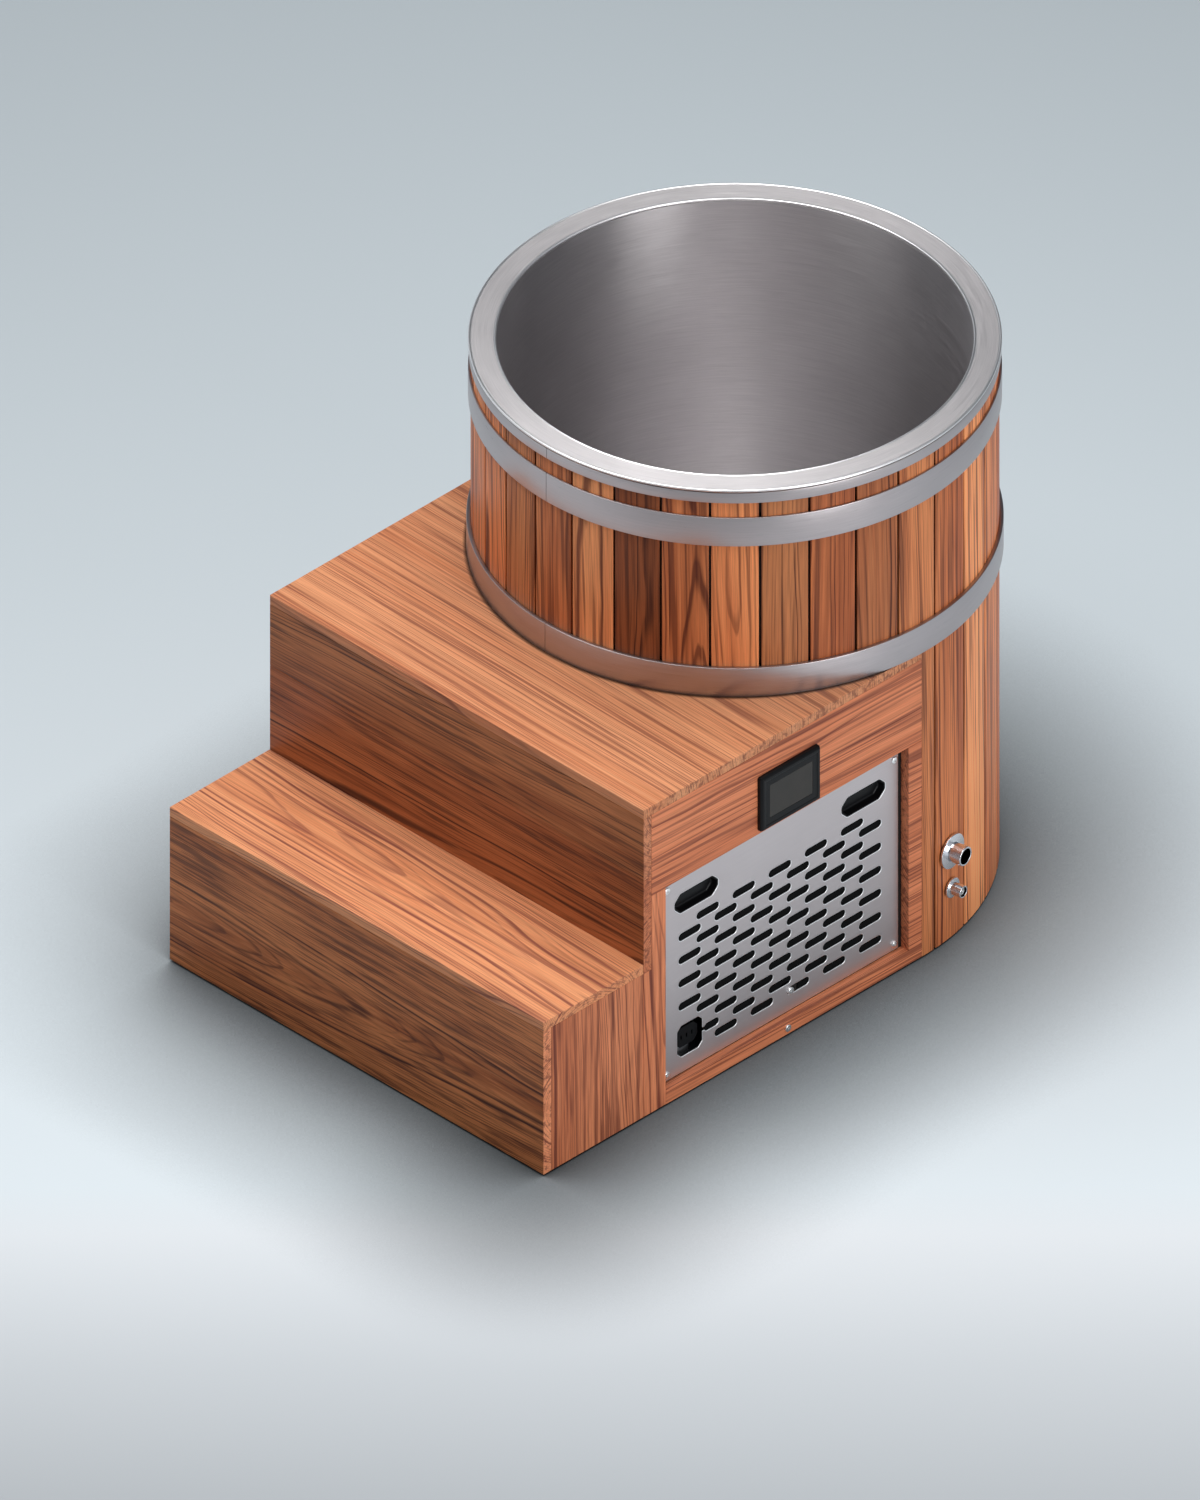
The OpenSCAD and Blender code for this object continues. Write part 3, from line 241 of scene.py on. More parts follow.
feed(shader, {"Base Color": blend_colour(far, scaled(tone, FLOOR_SHADE), (0.0, 0.0, 0.0, 1.0)),
              "Emission Color": blend_colour(far, scaled(tone, FLOOR_GLOW), BACKDROP),
              "Emission Strength": maths("MAXIMUM", rays["Is Camera Ray"], rays["Is Glossy Ray"]),
              "Roughness": 0.9, "Specular IOR Level": 0.1})
floor_mesh.materials.append(floor_paint)
floor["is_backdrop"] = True

world = bpy.data.worlds.new("studio")
bpy.context.scene.world = world
world.use_nodes = True
tree = world.node_tree
tree.nodes.clear()
SKY_PANELS, SKY_TURN, LIGHT_SHARE = 2.0, 0.9, 0.85
parts = wire(tree, "ShaderNodeSeparateXYZ", {0: wire(tree, "ShaderNodeTexCoord").outputs["Generated"]}).outputs
round_about = maths("ARCTAN2", parts[1], parts[0])
panels = maths("SINE", maths("MULTIPLY_ADD", round_about, SKY_PANELS, SKY_TURN))
sky = ramp(maths("MULTIPLY_ADD", panels, 0.5, 0.5),
           [(0.0, (88, 92, 98)), (0.45, (150, 156, 162)), (1.0, (236, 240, 244))])
up = ramp(maths("MULTIPLY_ADD", parts[2], 0.5, 0.5),
          [(0.0, (150, 156, 160)), (0.5, (200, 205, 210)), (0.8, (216, 216, 216))])
rays = wire(tree, "ShaderNodeLightPath").outputs
plain = maths("MAXIMUM", rays["Is Camera Ray"], rays["Is Transmission Ray"])
shown = blend_colour(plain, blend_colour(1.0, sky, up, "MULTIPLY"), BACKDROP)
lift = maths("MULTIPLY_ADD", plain, 1.0 - LIGHT_SHARE, LIGHT_SHARE)
glow = wire(tree, "ShaderNodeBackground", {"Color": shown, "Strength": lift})
wire(tree, "ShaderNodeOutputWorld", {"Surface": glow.outputs[0]})

LAMPS = (("lamp_top", (-0.45, -0.4, 4.3), 3.3, 150.0), ("lamp_side", (4.8, -0.65, 1.5), 2.4, 95.0),
         ("lamp_front", (-1.4, -5.1, 2.0), 2.6, 20.0))
LAMPS_AIM = Vector((0.0, -0.25, 0.45))
for name, place, size, power in LAMPS:
    lamp = bpy.data.lights.new(name, "AREA")
    lamp.shape, lamp.size, lamp.energy = "SQUARE", size, power
    holder = placed(name, lamp)
    holder.location = place
    holder.rotation_euler = (LAMPS_AIM - Vector(place)).to_track_quat("-Z", "Y").to_euler()


# Boards of the step box. Planks and panels of oiled red cedar, 18 mm thick, butted together and
# fixed from inside, with their long edges just broken. Each one has its own place in a log.
EASE = 0.0011
EASE_STEPS = 3
SOFT_EDGE = 0.012
WELD, SHARP_FROM = 1e-6, math.radians(40)


def rounded(outline, radius=EASE, steps=EASE_STEPS):
    """A closed outline with an arc in each corner: its centre lies on the corner's bisector, at the radius
    over the sine of half the corner's angle, and its points turn evenly between the two tangent points."""
    p = np.array(outline, float)
    r = np.broadcast_to(radius, len(p))[:, None].astype(float)
    u, v = np.roll(p, 1, 0) - p, np.roll(p, -1, 0) - p
    u, v = u / np.linalg.norm(u, axis=1)[:, None], v / np.linalg.norm(v, axis=1)[:, None]
    half = np.arccos(np.clip((u * v).sum(1), -1, 1))[:, None] / 2
    middle = p + (u + v) / np.linalg.norm(u + v, axis=1)[:, None] * r / np.sin(half)
    first, last = p + u * r / np.tan(half) - middle, p + v * r / np.tan(half) - middle
    s = np.linspace(0, 1, steps + 1)[None, :, None]
    turn = (math.pi - 2 * half)[:, None, :]
    arc = (np.sin((1 - s) * turn) * first[:, None] + np.sin(s * turn) * last[:, None]) / np.sin(turn)
    arc = (middle[:, None] + arc).reshape(-1, 2)
    return arc[np.linalg.norm(arc - np.roll(arc, 1, 0), axis=1) > 1e-7]


def rectangle(u0, v0, u1, v1):
    """Four corners, counterclockwise."""
    return [(u0, v0), (u1, v0), (u1, v1), (u0, v1)]


def around(u, v, width, height):
    """Four corners about a middle, counterclockwise."""
    return rectangle(u - width / 2, v - height / 2, u + width / 2, v + height / 2)


def inset(outline, by):
    """A closed outline moved to its left by a distance: each point goes along the sum of its two edges'
    left normals, so that every edge ends up parallel to itself."""
    d = np.roll(outline, -1, 0) - outline
    d = d / np.linalg.norm(d, axis=1)[:, None]
    left = np.stack([-d[:, 1], d[:, 0]], 1)
    before = np.roll(left, 1, 0)
    return outline + by * (left + before) / (1 + (left * before).sum(1))[:, None]


def skin(rows, closed=False, ends=True):
    """A surface from rows of points: each point joins its row's next point and the next row's. The two
    end rows are filled, or joined to each other when closed. Narrow faces, which round an edge, are soft."""
    n, m = rows.shape[:2]
    i, j = np.meshgrid(np.arange(n if closed else n - 1), np.arange(m), indexing="ij")
    i2, j2 = (i + 1) % n, (j + 1) % m
    faces = np.stack([i * m + j, i * m + j2, i2 * m + j2, i2 * m + j], -1).reshape(-1, 4).tolist()
    across = np.linalg.norm(rows[i, j2] - rows[i, j], axis=2)
    along = np.linalg.norm(rows[i2, j] - rows[i, j], axis=2)
    soft = (np.minimum(across, along) < SOFT_EDGE).ravel().tolist()
    if ends and not closed:
        faces += [list(range(m))[::-1], list(range((n - 1) * m, n * m))]
        soft += [False, False]
    return rows.reshape(-1, 3), faces, soft


def prism(outlines, w0, w1, axis=2, ease=EASE * 0.9, spread=None):
    """A plate between two heights on an axis, from one outline, or from one and the holes in it, which run
    the other way round. Every outline is drawn in by a quarter circle at both faces, or by a quarter of an
    ellipse where its spread over the face is given."""
    outlines = [outlines] if isinstance(outlines, np.ndarray) else outlines
    a = np.linspace(0, math.pi / 2, EASE_STEPS + 1)
    draw, level = (spread or ease) * (1 - np.sin(a)), ease * (1 - np.cos(a))
    steps = [(w0 + l, d) for l, d in zip(level, draw)] + [(w1 - l, d) for l, d in zip(level[::-1], draw[::-1])]
    points, faces, soft, rings, start = [], [], [], [[], []], 0
    for outline in outlines:
        rows = np.stack([np.insert(inset(outline, d), 2, w, 1) for w, d in steps])
        co, fa, so = skin(rows, ends=len(outlines) == 1)
        points.append(co)
        faces += [[v + start for v in f] for f in fa]
        soft += so
        for k, ring in enumerate((np.arange(len(outline)), np.arange(len(co) - len(outline), len(co)))):
            rings[k].append(ring + start)
        start += len(co)
    co = np.concatenate(points)
    if len(outlines) > 1:
        for k, loops in enumerate(rings):
            names = np.concatenate(loops)
            for tri in tessellate_polygon([[Vector(co[v]) for v in loop] for loop in loops]):
                a, b, c = names[list(tri)].tolist()
                up = np.cross(co[b] - co[a], co[c] - co[a])[2] > 0
                faces.append([a, b, c] if up == bool(k) else [a, c, b])
                soft.append(False)
    return np.roll(co, axis + 1, 1), faces, soft


def board(low, high, axis):
    """A box with its edges broken, its end faces square to the axis."""
    u, v = (axis + 1) % 3, (axis + 2) % 3
    return prism(rounded(rectangle(low[u], low[v], high[u], high[v])), low[axis], high[axis], axis)


def grain_of(points, axis, pith, shift=0.0, slope=0.0):
    """Where each point lies in its log: first along the pith, then two distances across from it.
    The board's own axis leans on the pith by the slope."""
    u, v = (axis + 1) % 3, (axis + 2) % 3
    across = points[:, u] - pith[0] + slope * points[:, axis]
    return np.stack([points[:, axis] + shift, across, points[:, v] - pith[1]], 1)


def piece(name, solids, paint, body="tub", tones=None, grains=None):
    """Joins solids, given as points, faces and soft marks, into one object that stands for the CAD node of
    its name. For wood two attributes go with it: grain, a place in the log, and tone, light and redness."""
    points, faces, soft, grain, tone, start = [], [], [], [], [], 0
    for k, (co, fa, so) in enumerate(solids):
        points.append(co)
        faces += [[v + start for v in f] for f in fa]
        soft += so
        if grains:
            grain.append(grains[k])
            tone.append(np.broadcast_to(tones[k], (len(co), 3)))
        start += len(co)
    mesh = bpy.data.meshes.new("dressed_" + name)
    mesh.from_pydata(np.concatenate(points).tolist(), [], faces)
    mesh.polygons.foreach_set("use_smooth", soft)
    for key, rows in (("grain", grain), ("tone", tone)) if grains else ():
        mesh.attributes.new(key, "FLOAT_VECTOR", "POINT").data.foreach_set(
            "vector", np.concatenate(rows).astype(np.float32).ravel())
    shell = bmesh.new()
    shell.from_mesh(mesh)
    bmesh.ops.remove_doubles(shell, verts=shell.verts, dist=WELD)
    shell.to_mesh(mesh)
    shell.free()
    marks = np.zeros(len(mesh.polygons), bool)
    mesh.polygons.foreach_get("use_smooth", marks)
    mesh.set_sharp_from_angle(angle=SHARP_FROM)
    mesh.polygons.foreach_set("use_smooth", marks)
    made = placed("dressed_" + name, mesh)
    mesh.materials.append(paint)
    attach(made, body)
    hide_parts(name)
    finish_node(name, paint)
    return made


def finish_node(name, paint):
    """Gives a CAD node's object its material."""
    for s in NODES[name].material_slots:
        s.material = paint


def plank(name, part, paint, tone, axis, pith, shift=0.0, slope=0.0):
    """A piece of one board, with its tone and its place in its log."""
    grain = grain_of(part[0], axis, pith, shift, slope)
    return piece(name, [part], paint, tones=[(*tone, 0)], grains=[grain])


RING_WAVER, WIDTH_STEP, WIDTH_SPREAD, STRENGTH_STEP = 0.0035, 0.31, 3.4, 3.37
FIBRE_DARK, FIBRE_LIGHT, LATE_SUNK, OIL_ROUGH = 0.76, 1.20, 0.35, 0.36


def grain_group():
    """Growth rings as distance from the pith over the ring gap, bent by slow noise; each ring darkens
    outwards to its late wood and stops. Fibres are noise drawn out along the pith."""
    g, given, result = group("cedar_grain", {"Vector": ("Place", "Tone"), "Float": ("Ring Gap", "Wander", "Depth"),
                                             "Color": ("Pale", "Body", "Late")},
                             {"Color": ("Color",), "Float": ("Height", "Roughness")})
    place = given["Place"]

    def steps(value, detail):
        inputs = {"W": value, "Scale": 1.0, "Detail": detail, "Roughness": 0.5}
        return wire(g, "ShaderNodeTexNoise", inputs, noise_dimensions="1D").outputs["Fac"]

    def bend(vector, scale):
        return maths("MULTIPLY", maths("SUBTRACT", noise(vector, scale), 0.5), given["Wander"])

    aside = vectors("ADD", place, (7.3, 2.1, 4.7))
    off = wire(g, "ShaderNodeCombineXYZ", {"Y": bend(place, (1.3, 5.0, 5.0)), "Z": bend(aside, (1.1, 6.0, 6.0))})
    bent = vectors("MULTIPLY", vectors("ADD", place, off.outputs[0]), (0.0, 1.0, 1.0))
    fine = noise(place, (5.0, 40.0, 40.0))
    reach = maths("MULTIPLY_ADD", fine, RING_WAVER, vectors("LENGTH", bent))
    count = maths("DIVIDE", reach, given["Ring Gap"])
    widths = steps(maths("MULTIPLY", count, WIDTH_STEP), 1.0)
    count = maths("MULTIPLY_ADD", widths, WIDTH_SPREAD, count)
    strong = steps(maths("MULTIPLY", maths("FLOOR", count), STRENGTH_STEP), 0.0)
    strong = mapped(strong, 0.3, 0.66, 0.28, 1.0)
    late = ramp(maths("FRACT", count),
                [(0.0, 0.08), (0.3, 0.0), (0.66, 0.12), (0.83, 1.0), (0.94, 1.0), (1.0, 0.08)])
    late = maths("MULTIPLY", late, strong)
    broad = noise(vectors("ADD", place, (1.7, 3.3, 9.1)), (0.9, 16.0, 16.0), 3.0)
    fibre = noise(place, (9.0, 420.0, 420.0), 3.0, 0.6)
    streak = noise(place, (2.2, 110.0, 110.0), 2.0, 0.6)
    shade = blend_colour(mapped(broad, 0.32, 0.68), given["Pale"], given["Body"])
    shade = blend_colour(maths("MULTIPLY", late, given["Depth"]), shade, given["Late"])
    for low, high, amount, key in ((0.53, 0.64, 0.62, "Late"), (0.45, 0.34, 0.60, "Pale")):
        shade = blend_colour(maths("MULTIPLY", mapped(streak, low, high), amount), shade, given[key])
    light = maths("ADD", part_of(given["Tone"], 0), 0.5)
    fibres = mapped(fibre, 0.25, 0.75, FIBRE_DARK, FIBRE_LIGHT)
    shade = scaled(shade, maths("MULTIPLY", fibres, light))
    red = blend_colour(part_of(given["Tone"], 1), colour(255, 255, 255), colour(255, 214, 196))
    satin = maths("MULTIPLY_ADD", fibre, 0.14, OIL_ROUGH)
    feed(result, {"Color": vectors("MULTIPLY", shade, red),
                  "Roughness": maths("MULTIPLY_ADD", late, 0.08, satin),
                  "Height": maths("SUBTRACT", fibre, maths("MULTIPLY", late, LATE_SUNK))})
    return g


CEDAR = grain_group()


def cedar(name, gap, wander, depth, pale, body, late):
    """Oiled cedar of one cut, from the shared grain, with a thin satin oil on top."""
    m, t, s = material(name)
    inputs = {key: wire(t, "ShaderNodeAttribute", attribute_name=name).outputs["Vector"]
              for key, name in (("Place", "grain"), ("Tone", "tone"))}
    inputs |= {"Ring Gap": gap, "Wander": wander, "Depth": depth,
               "Pale": colour(*pale), "Body": colour(*body), "Late": colour(*late)}
    made = wire(t, "ShaderNodeGroup", inputs, node_tree=CEDAR).outputs
    feed(s, {"Base Color": made["Color"], "Roughness": made["Roughness"], "Specular IOR Level": 0.25,
             "Coat Weight": 0.04, "Coat Roughness": 0.35})
    emboss(s, made["Height"], 0.35, 0.0006)
    return m


tread_cedar = cedar("tread_cedar", 0.0054, 0.060, 0.88, (242, 174, 126), (224, 150, 104), (136, 74, 62))
deck_cedar = cedar("deck_cedar", 0.0058, 0.018, 0.88, (238, 174, 128), (220, 147, 102), (134, 76, 60))
# The risers' cedar is darker than the treads' partly as its own tone and partly as painted shade, for faces turned
# away from the lamps.
shaded_riser_cedar = cedar("shaded_riser_cedar", 0.0050, 0.036, 0.95, (214, 136, 84), (166, 92, 50), (66, 28, 20))
side_cedar = cedar("side_cedar", 0.0054, 0.024, 0.88, (240, 160, 116), (212, 132, 92), (116, 58, 46))

plank("lower_tread", board(*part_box("lower_tread"), 0), tread_cedar, (0.5, 0.3),
      0, (-0.735, 0.235), 0.4, 0.03)
END_FACING = 0.7


def lit_side_end(made):
    """Gives the faces of a riser board that turn to the service side, by their normals, the lighter side cedar:
    painted light against the riser cedar's painted shade.
    """
    faces = made.data.polygons
    way = np.zeros(len(faces) * 3)
    faces.foreach_get("normal", way)
    made.data.materials.append(side_cedar)
    faces.foreach_set("material_index", (way[::3] > END_FACING).astype(np.int32))


lit_side_end(plank("lower_riser", board(*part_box("lower_riser"), 0), shaded_riser_cedar, (0.6, 0.1),
               0, (-0.80, 0.12), 1.6, -0.05))

low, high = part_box("upper_riser")
RISER_JOINT, JOINT_GAP = 0.463, 0.00005
parts = [board(low, (high[0], high[1], RISER_JOINT), 0), board((low[0], low[1], RISER_JOINT + JOINT_GAP), high, 0)]
lit_side_end(piece("upper_riser", parts, shaded_riser_cedar, tones=[(0.30, 0.4, 0), (0.36, 0.0, 0)],
               grains=[grain_of(parts[0][0], 0, (-0.58, 0.30), 3.1, 0.03),
                       grain_of(parts[1][0], 0, (-0.52, 0.62), 5.2, -0.03)]))

# Deck. One wide board that the front staves stand on, cut out in a half circle for the tub, with a painted
# contact shadow, a dark line on its top along the lower hoop.
low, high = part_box("deck_panel")
TUB_CUT, CONTACT_SHADOW_IN, CONTACT_SHADOW_OUT, CONTACT_SHADOW_DARK, CONTACT_SHADOW_DEEP = 0.394, 0.4285, 0.4335, 0.16, 0.0008
tree, shader = insides(deck_cedar)
# Painted shadow: the deck's top is darkened in a thin ring just outside the lower hoop.
painted_contact_shadow = mapped(radius(here(tree)), CONTACT_SHADOW_IN, CONTACT_SHADOW_OUT, CONTACT_SHADOW_DARK, 1.0)
under = maths("LESS_THAN", part_of(here(tree), 2), high[2] - CONTACT_SHADOW_DEEP)
feed(shader, {"Base Color": scaled(source(shader, "Base Color"), maths("MAXIMUM", painted_contact_shadow, under))})


def polar(r, turn):
    """Points at one radius or at many, at the given turns."""
    return np.stack([r * np.cos(turn), r * np.sin(turn)], 1)


half_ring = polar(TUB_CUT, np.linspace(0, -math.pi, 121))
outline = rectangle(low[0], low[1], high[0], high[1])
outline = np.concatenate([outline[:3], half_ring, outline[3:]])
easing = np.concatenate([[EASE, EASE, EASE], np.zeros(len(half_ring)), [EASE]])
plank("deck_panel", prism(rounded(outline, easing), low[2], high[2]), deck_cedar, (0.38, 0.3),
      0, (-1.05, 0.52), 2.2, 0.02)

# Side boards. The lower step's sides and the front stile stand upright in grain; the rails and the
# left wall lie along the tub. The stiles and rails frame the service opening.
for name, axis, pith, shift, tone in (
        ("step_side_right", 2, (0.62, -0.55), 0.3, (0.38, 0.35)),
        ("step_side_left", 2, (0.62, -0.62), 1.3, (0.5, 0.4)),
        ("rear_stile_right", 1, (0.5, 0.80), 6.1, (0.44, 0.5))):
    low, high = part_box(name)
    plank(name, board(low, high, axis), side_cedar, tone, axis, pith, shift, 0.03)

TREAD_UNDER, RISER_BACK = 0.282, -0.607
for name, axis, pith, tone in (("stile_right", 2, (0.62, -0.55), (0.52, 0.35)),
                               ("side_wall_left", 1, (0.42, -0.9), (0.5, 0.45))):
    low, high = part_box(name)
    outline = [(low[1], low[2]), (high[1], low[2]), (high[1], high[2]), (RISER_BACK, high[2]),
               (RISER_BACK, TREAD_UNDER), (low[1], TREAD_UNDER)]
    part = prism(rounded(outline), low[0], high[0], 0)
    plank(name, part, side_cedar, tone, axis, pith, 0.3, 0.03)

# Rails. The top one is sawn out for the controller's body, the bottom one drilled for its screw.
CASE_FACE, CONTROL_Y, CONTROL_Z, BODY_W, BODY_H = 0.420, -0.3025, 0.485, 0.1086, 0.0786
low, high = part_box("top_rail_right")
opening = around(CONTROL_Y, CONTROL_Z, BODY_W, BODY_H)
part = prism([rounded(rectangle(low[1], low[2], high[1], high[2])), rounded(opening)[::-1]], low[0], high[0], 0)
plank("top_rail_right", part, side_cedar, (0.5, 0.4), 1, (0.66, 0.80), 9.4, 0.04)

RAIL_SCREW_Z, SCREW_HOLE = 0.017, 0.0028
low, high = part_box("bottom_rail_right")
hole = polar(SCREW_HOLE, np.linspace(0, -2 * math.pi, 24, endpoint=False)) + (CONTROL_Y, RAIL_SCREW_Z)
part = prism([rounded(rectangle(low[1], low[2], high[1], high[2])), hole], low[0], high[0], 0, ease=0.0005)
plank("bottom_rail_right", part, side_cedar, (0.5, 0.4), 1, (0.12, 0.66), 4.4, 0.02)


# Barrel staves. Thirty-three upright cedar staves with bevelled long edges, no two of one tone,
# held by the hoops; the front ones stand on the deck and the rest run down to the floor. The staves at the
# barrel's two sides carry painted light in raised tones, and the bottoms of the joints painted shade.
STAVES = 33
STAVE_OUT, STAVE_IN, STAVE_JOINT, GROOVE_W, GROOVE_DEEP = 0.42, 0.394, 0.0006, 0.0017, 0.007
# The joint tone is painted shade, given to the bottom of each joint's groove.
STAVE_TOP, FLOOR_GAP, DECK_TOP, JOINT_SHADE_TONE, JOINT_NEAR = 0.99595, 0.004, 0.60005, -0.48, 0.0005
PORT_STAVE = 5
pitch = 2 * math.pi / STAVES
dice = np.random.default_rng(7)
stave_tones_and_side_light = {k: (0.36 + 0.3 * dice.random(), dice.random(), 0.0) for k in range(STAVES)}
# Tones listed one by one for the staves in view; staves -7, -6, 6 and 7, at the barrel's two sides, get raised tones
# as painted light.
stave_tones_and_side_light.update({k % STAVES: tone for k, tone in {
    -7: (0.84, 0.3, 0), -6: (0.72, 0.5, 0), -5: (0.38, 0.3, 0), -4: (0.52, 0.4, 0), -3: (0.84, 0.0, 0),
    -2: (-0.12, 0.9, 0), -1: (0.40, 0.5, 0), 0: (0.66, 0.4, 0), 1: (0.28, 0.2, 0), 2: (0.28, 0.7, 0),
    3: (0.24, 0.4, 0), 4: (0.58, 0.2, 0), 5: (0.52, 0.5, 0), 6: (1.06, 0.1, 0), 7: (1.0, 0.2, 0)}.items()})


def stave(k, z0):
    """One stave: an arc outside that rounds over into the joint's groove at each side, a tongue's width
    beyond it that meets the next stave, and an arc inside."""
    half = pitch / 2 - STAVE_JOINT / 2 / STAVE_OUT
    face = half - GROOVE_W / STAVE_OUT
    outer = np.linspace(face - EASE / STAVE_OUT, EASE / STAVE_OUT - face, 11)[::-1]
    a = np.linspace(0, math.pi / 2, 4)[1:]
    lead = np.stack([STAVE_OUT - EASE * (1 - np.cos(a)), face - EASE / STAVE_OUT * (1 - np.sin(a))], 1)
    step = np.array([(STAVE_OUT - GROOVE_DEEP, face), (STAVE_OUT - GROOVE_DEEP, half)])
    front = np.stack([np.full(len(outer), STAVE_OUT), outer], 1)
    back = np.stack([np.full(7, STAVE_IN), np.linspace(half, -half, 7)], 1)
    arc = np.concatenate([step[::-1] * (1, -1), lead[::-1] * (1, -1), front, lead, step, back])
    turn = arc[:, 1] + k * pitch - math.pi / 4
    return prism(polar(arc[:, 0], turn), z0, STAVE_TOP, ease=0.0003)


def cut(solid, cutter):
    """A solid with another one taken away from it."""
    pair = []
    for co, fa, _ in (solid, cutter):
        mesh = bpy.data.meshes.new("blank")
        mesh.from_pydata(co.tolist(), [], fa)
        pair.append(placed("blank", mesh))
    knife = pair[0].modifiers.new("cut", "BOOLEAN")
    knife.operation, knife.solver, knife.object = "DIFFERENCE", "EXACT", pair[1]
    done = bpy.data.meshes.new_from_object(pair[0].evaluated_get(bpy.context.evaluated_depsgraph_get()))
    co = np.zeros(len(done.vertices) * 3)
    done.vertices.foreach_get("co", co)
    faces = [list(f.vertices) for f in done.polygons]
    for o in pair:
        bpy.data.objects.remove(o)
    return co.reshape(-1, 3), faces, [True] * len(faces)


def laid(solid, origin, direction):
    """A solid made along Z, laid along a direction from an origin."""
    to = np.array(Vector(direction).to_track_quat("Z", "Y").to_matrix())
    return solid[0] @ to.T + np.array(origin), solid[1], solid[2]


def ring_of(r, steps=48):
    """Points evenly round a circle, counterclockwise."""
    return polar(r, np.linspace(0, 2 * math.pi, steps, endpoint=False))


def shaded_stave_tone(points, k):
    """A stave's own tone, darkened at the bottom of its joints as painted shade in the grooves."""
    r = np.linalg.norm(points[:, :2], axis=1)
    shaded_joint = np.abs(r - STAVE_OUT + GROOVE_DEEP) < JOINT_NEAR
    return np.where(shaded_joint[:, None], (JOINT_SHADE_TONE, 0.5, 0.0), stave_tones_and_side_light[k])


def stave_grain(points, k):
    """A stave's place in its log: up the stave, round the barrel from the stave's middle, and through it."""
    middle = k * pitch - math.pi / 4
    turn = (np.arctan2(points[:, 1], points[:, 0]) - middle + math.pi) % (2 * math.pi) - math.pi
    r = np.linalg.norm(points[:, :2], axis=1)
    side, deep = dice.uniform(-0.12, 0.12), dice.uniform(0.05, 0.16)
    lean = dice.uniform(-0.03, 0.03)
    up = points[:, 2]
    return np.stack([up + 3.0 * k, turn * STAVE_OUT + side + lean * up, r - STAVE_OUT - deep], 1)


stave_cedar = cedar("stave_cedar", 0.0052, 0.034, 0.92, (234, 156, 102), (194, 116, 72), (86, 38, 26))
port_turn = PORT_STAVE * pitch - math.pi / 4
PORT_OUT = Vector((math.cos(port_turn), math.sin(port_turn), 0))
LARGE_Z, SMALL_Z, LARGE_R, SMALL_R, HOLE_EASE = 0.173, 0.102, 0.0167, 0.01065, 0.0003
STAVE_DRILL, LINER_DRILL = (0.37, 0.46), (0.34, 0.42)
STEP_ROOM = (-0.5, -0.6, -0.01), (0.5, 0.0, DECK_TOP)
groups = {"staves_front": [], "staves_back": [], "port_stave": []}
for k in range(STAVES):
    middle = (math.degrees(k * pitch) - 45 + 180) % 360 - 180
    half = math.degrees(pitch) / 2
    if middle + half <= 0 and middle - half >= -180:
        groups["staves_front"].append((k, stave(k, DECK_TOP)))
    elif k == PORT_STAVE:
        solid = stave(k, FLOOR_GAP)
        for z, r in ((LARGE_Z, LARGE_R), (SMALL_Z, SMALL_R)):
            solid = cut(solid, laid(prism(ring_of(r + HOLE_EASE), *STAVE_DRILL), (0, 0, z), PORT_OUT))
        groups["port_stave"].append((k, solid))
    elif middle < half or middle > 180 - half:
        groups["staves_back"].append((k, cut(stave(k, FLOOR_GAP), board(*STEP_ROOM, 0))))
    else:
        groups["staves_back"].append((k, stave(k, FLOOR_GAP)))
for name, members in groups.items():
    piece(name, [s for _, s in members], stave_cedar, tones=[shaded_stave_tone(s[0], k) for k, s in members],
          grains=[stave_grain(s[0], k) for k, s in members])


# Tub. A stainless steel liner welded from a rolled wall and a dished floor, brushed round the tub.
def turned(profile, steps=256, start=0.0, stop=2 * math.pi):
    """A closed profile of radius and height carried round the barrel's axis. It closes on itself after a
    full turn, and is filled at both ends when it stops short of one."""
    whole = stop - start > 2 * math.pi - 1e-6
    a = np.linspace(stop, start, steps, endpoint=not whole)
    r, z = np.array(profile).T
    rows = np.stack([np.cos(a)[:, None] * r, np.sin(a)[:, None] * r, np.tile(z, (steps, 1))], 2)
    return skin(rows, closed=whole)


BRUSH_REACH, LINE_SHADE, BAND_SHADE, BASE_SHADE, LINE_ROUGH = 5.0, 0.40, 0.16, 0.72, 0.3


def brushed_group():
    """Brushing as noise drawn out round the barrel's axis: unit circle times a low share, height and
    radius times a high one. A second, slower noise gives the soft bands of a rolled sheet."""
    g, given, result = group("brushed_round", {"Vector": ("Place",), "Float": ("Lines", "Rough")},
                             {"Float": ("Roughness", "Height", "Shade")})
    place = given["Place"]
    way = vectors("NORMALIZE", vectors("MULTIPLY", place, (1.0, 1.0, 0.0)))
    step = maths("MULTIPLY", maths("ADD", part_of(place, 2), radius(place)), given["Lines"])
    rise = wire(g, "ShaderNodeCombineXYZ", {"Z": step}).outputs[0]
    spot = vectors("ADD", scaled(way, BRUSH_REACH), rise)
    lines = noise(spot, 1.0, 4.0, 0.75)
    bands = noise(spot, (0.6, 0.6, 0.02))
    uneven = maths("MULTIPLY", maths("SUBTRACT", lines, 0.5), LINE_ROUGH)
    shade = maths("MULTIPLY_ADD", lines, LINE_SHADE, maths("MULTIPLY_ADD", bands, BAND_SHADE, BASE_SHADE))
    feed(result, {"Roughness": maths("ADD", given["Rough"], uneven), "Height": lines, "Shade": shade})
    return g


BRUSHED = brushed_group()


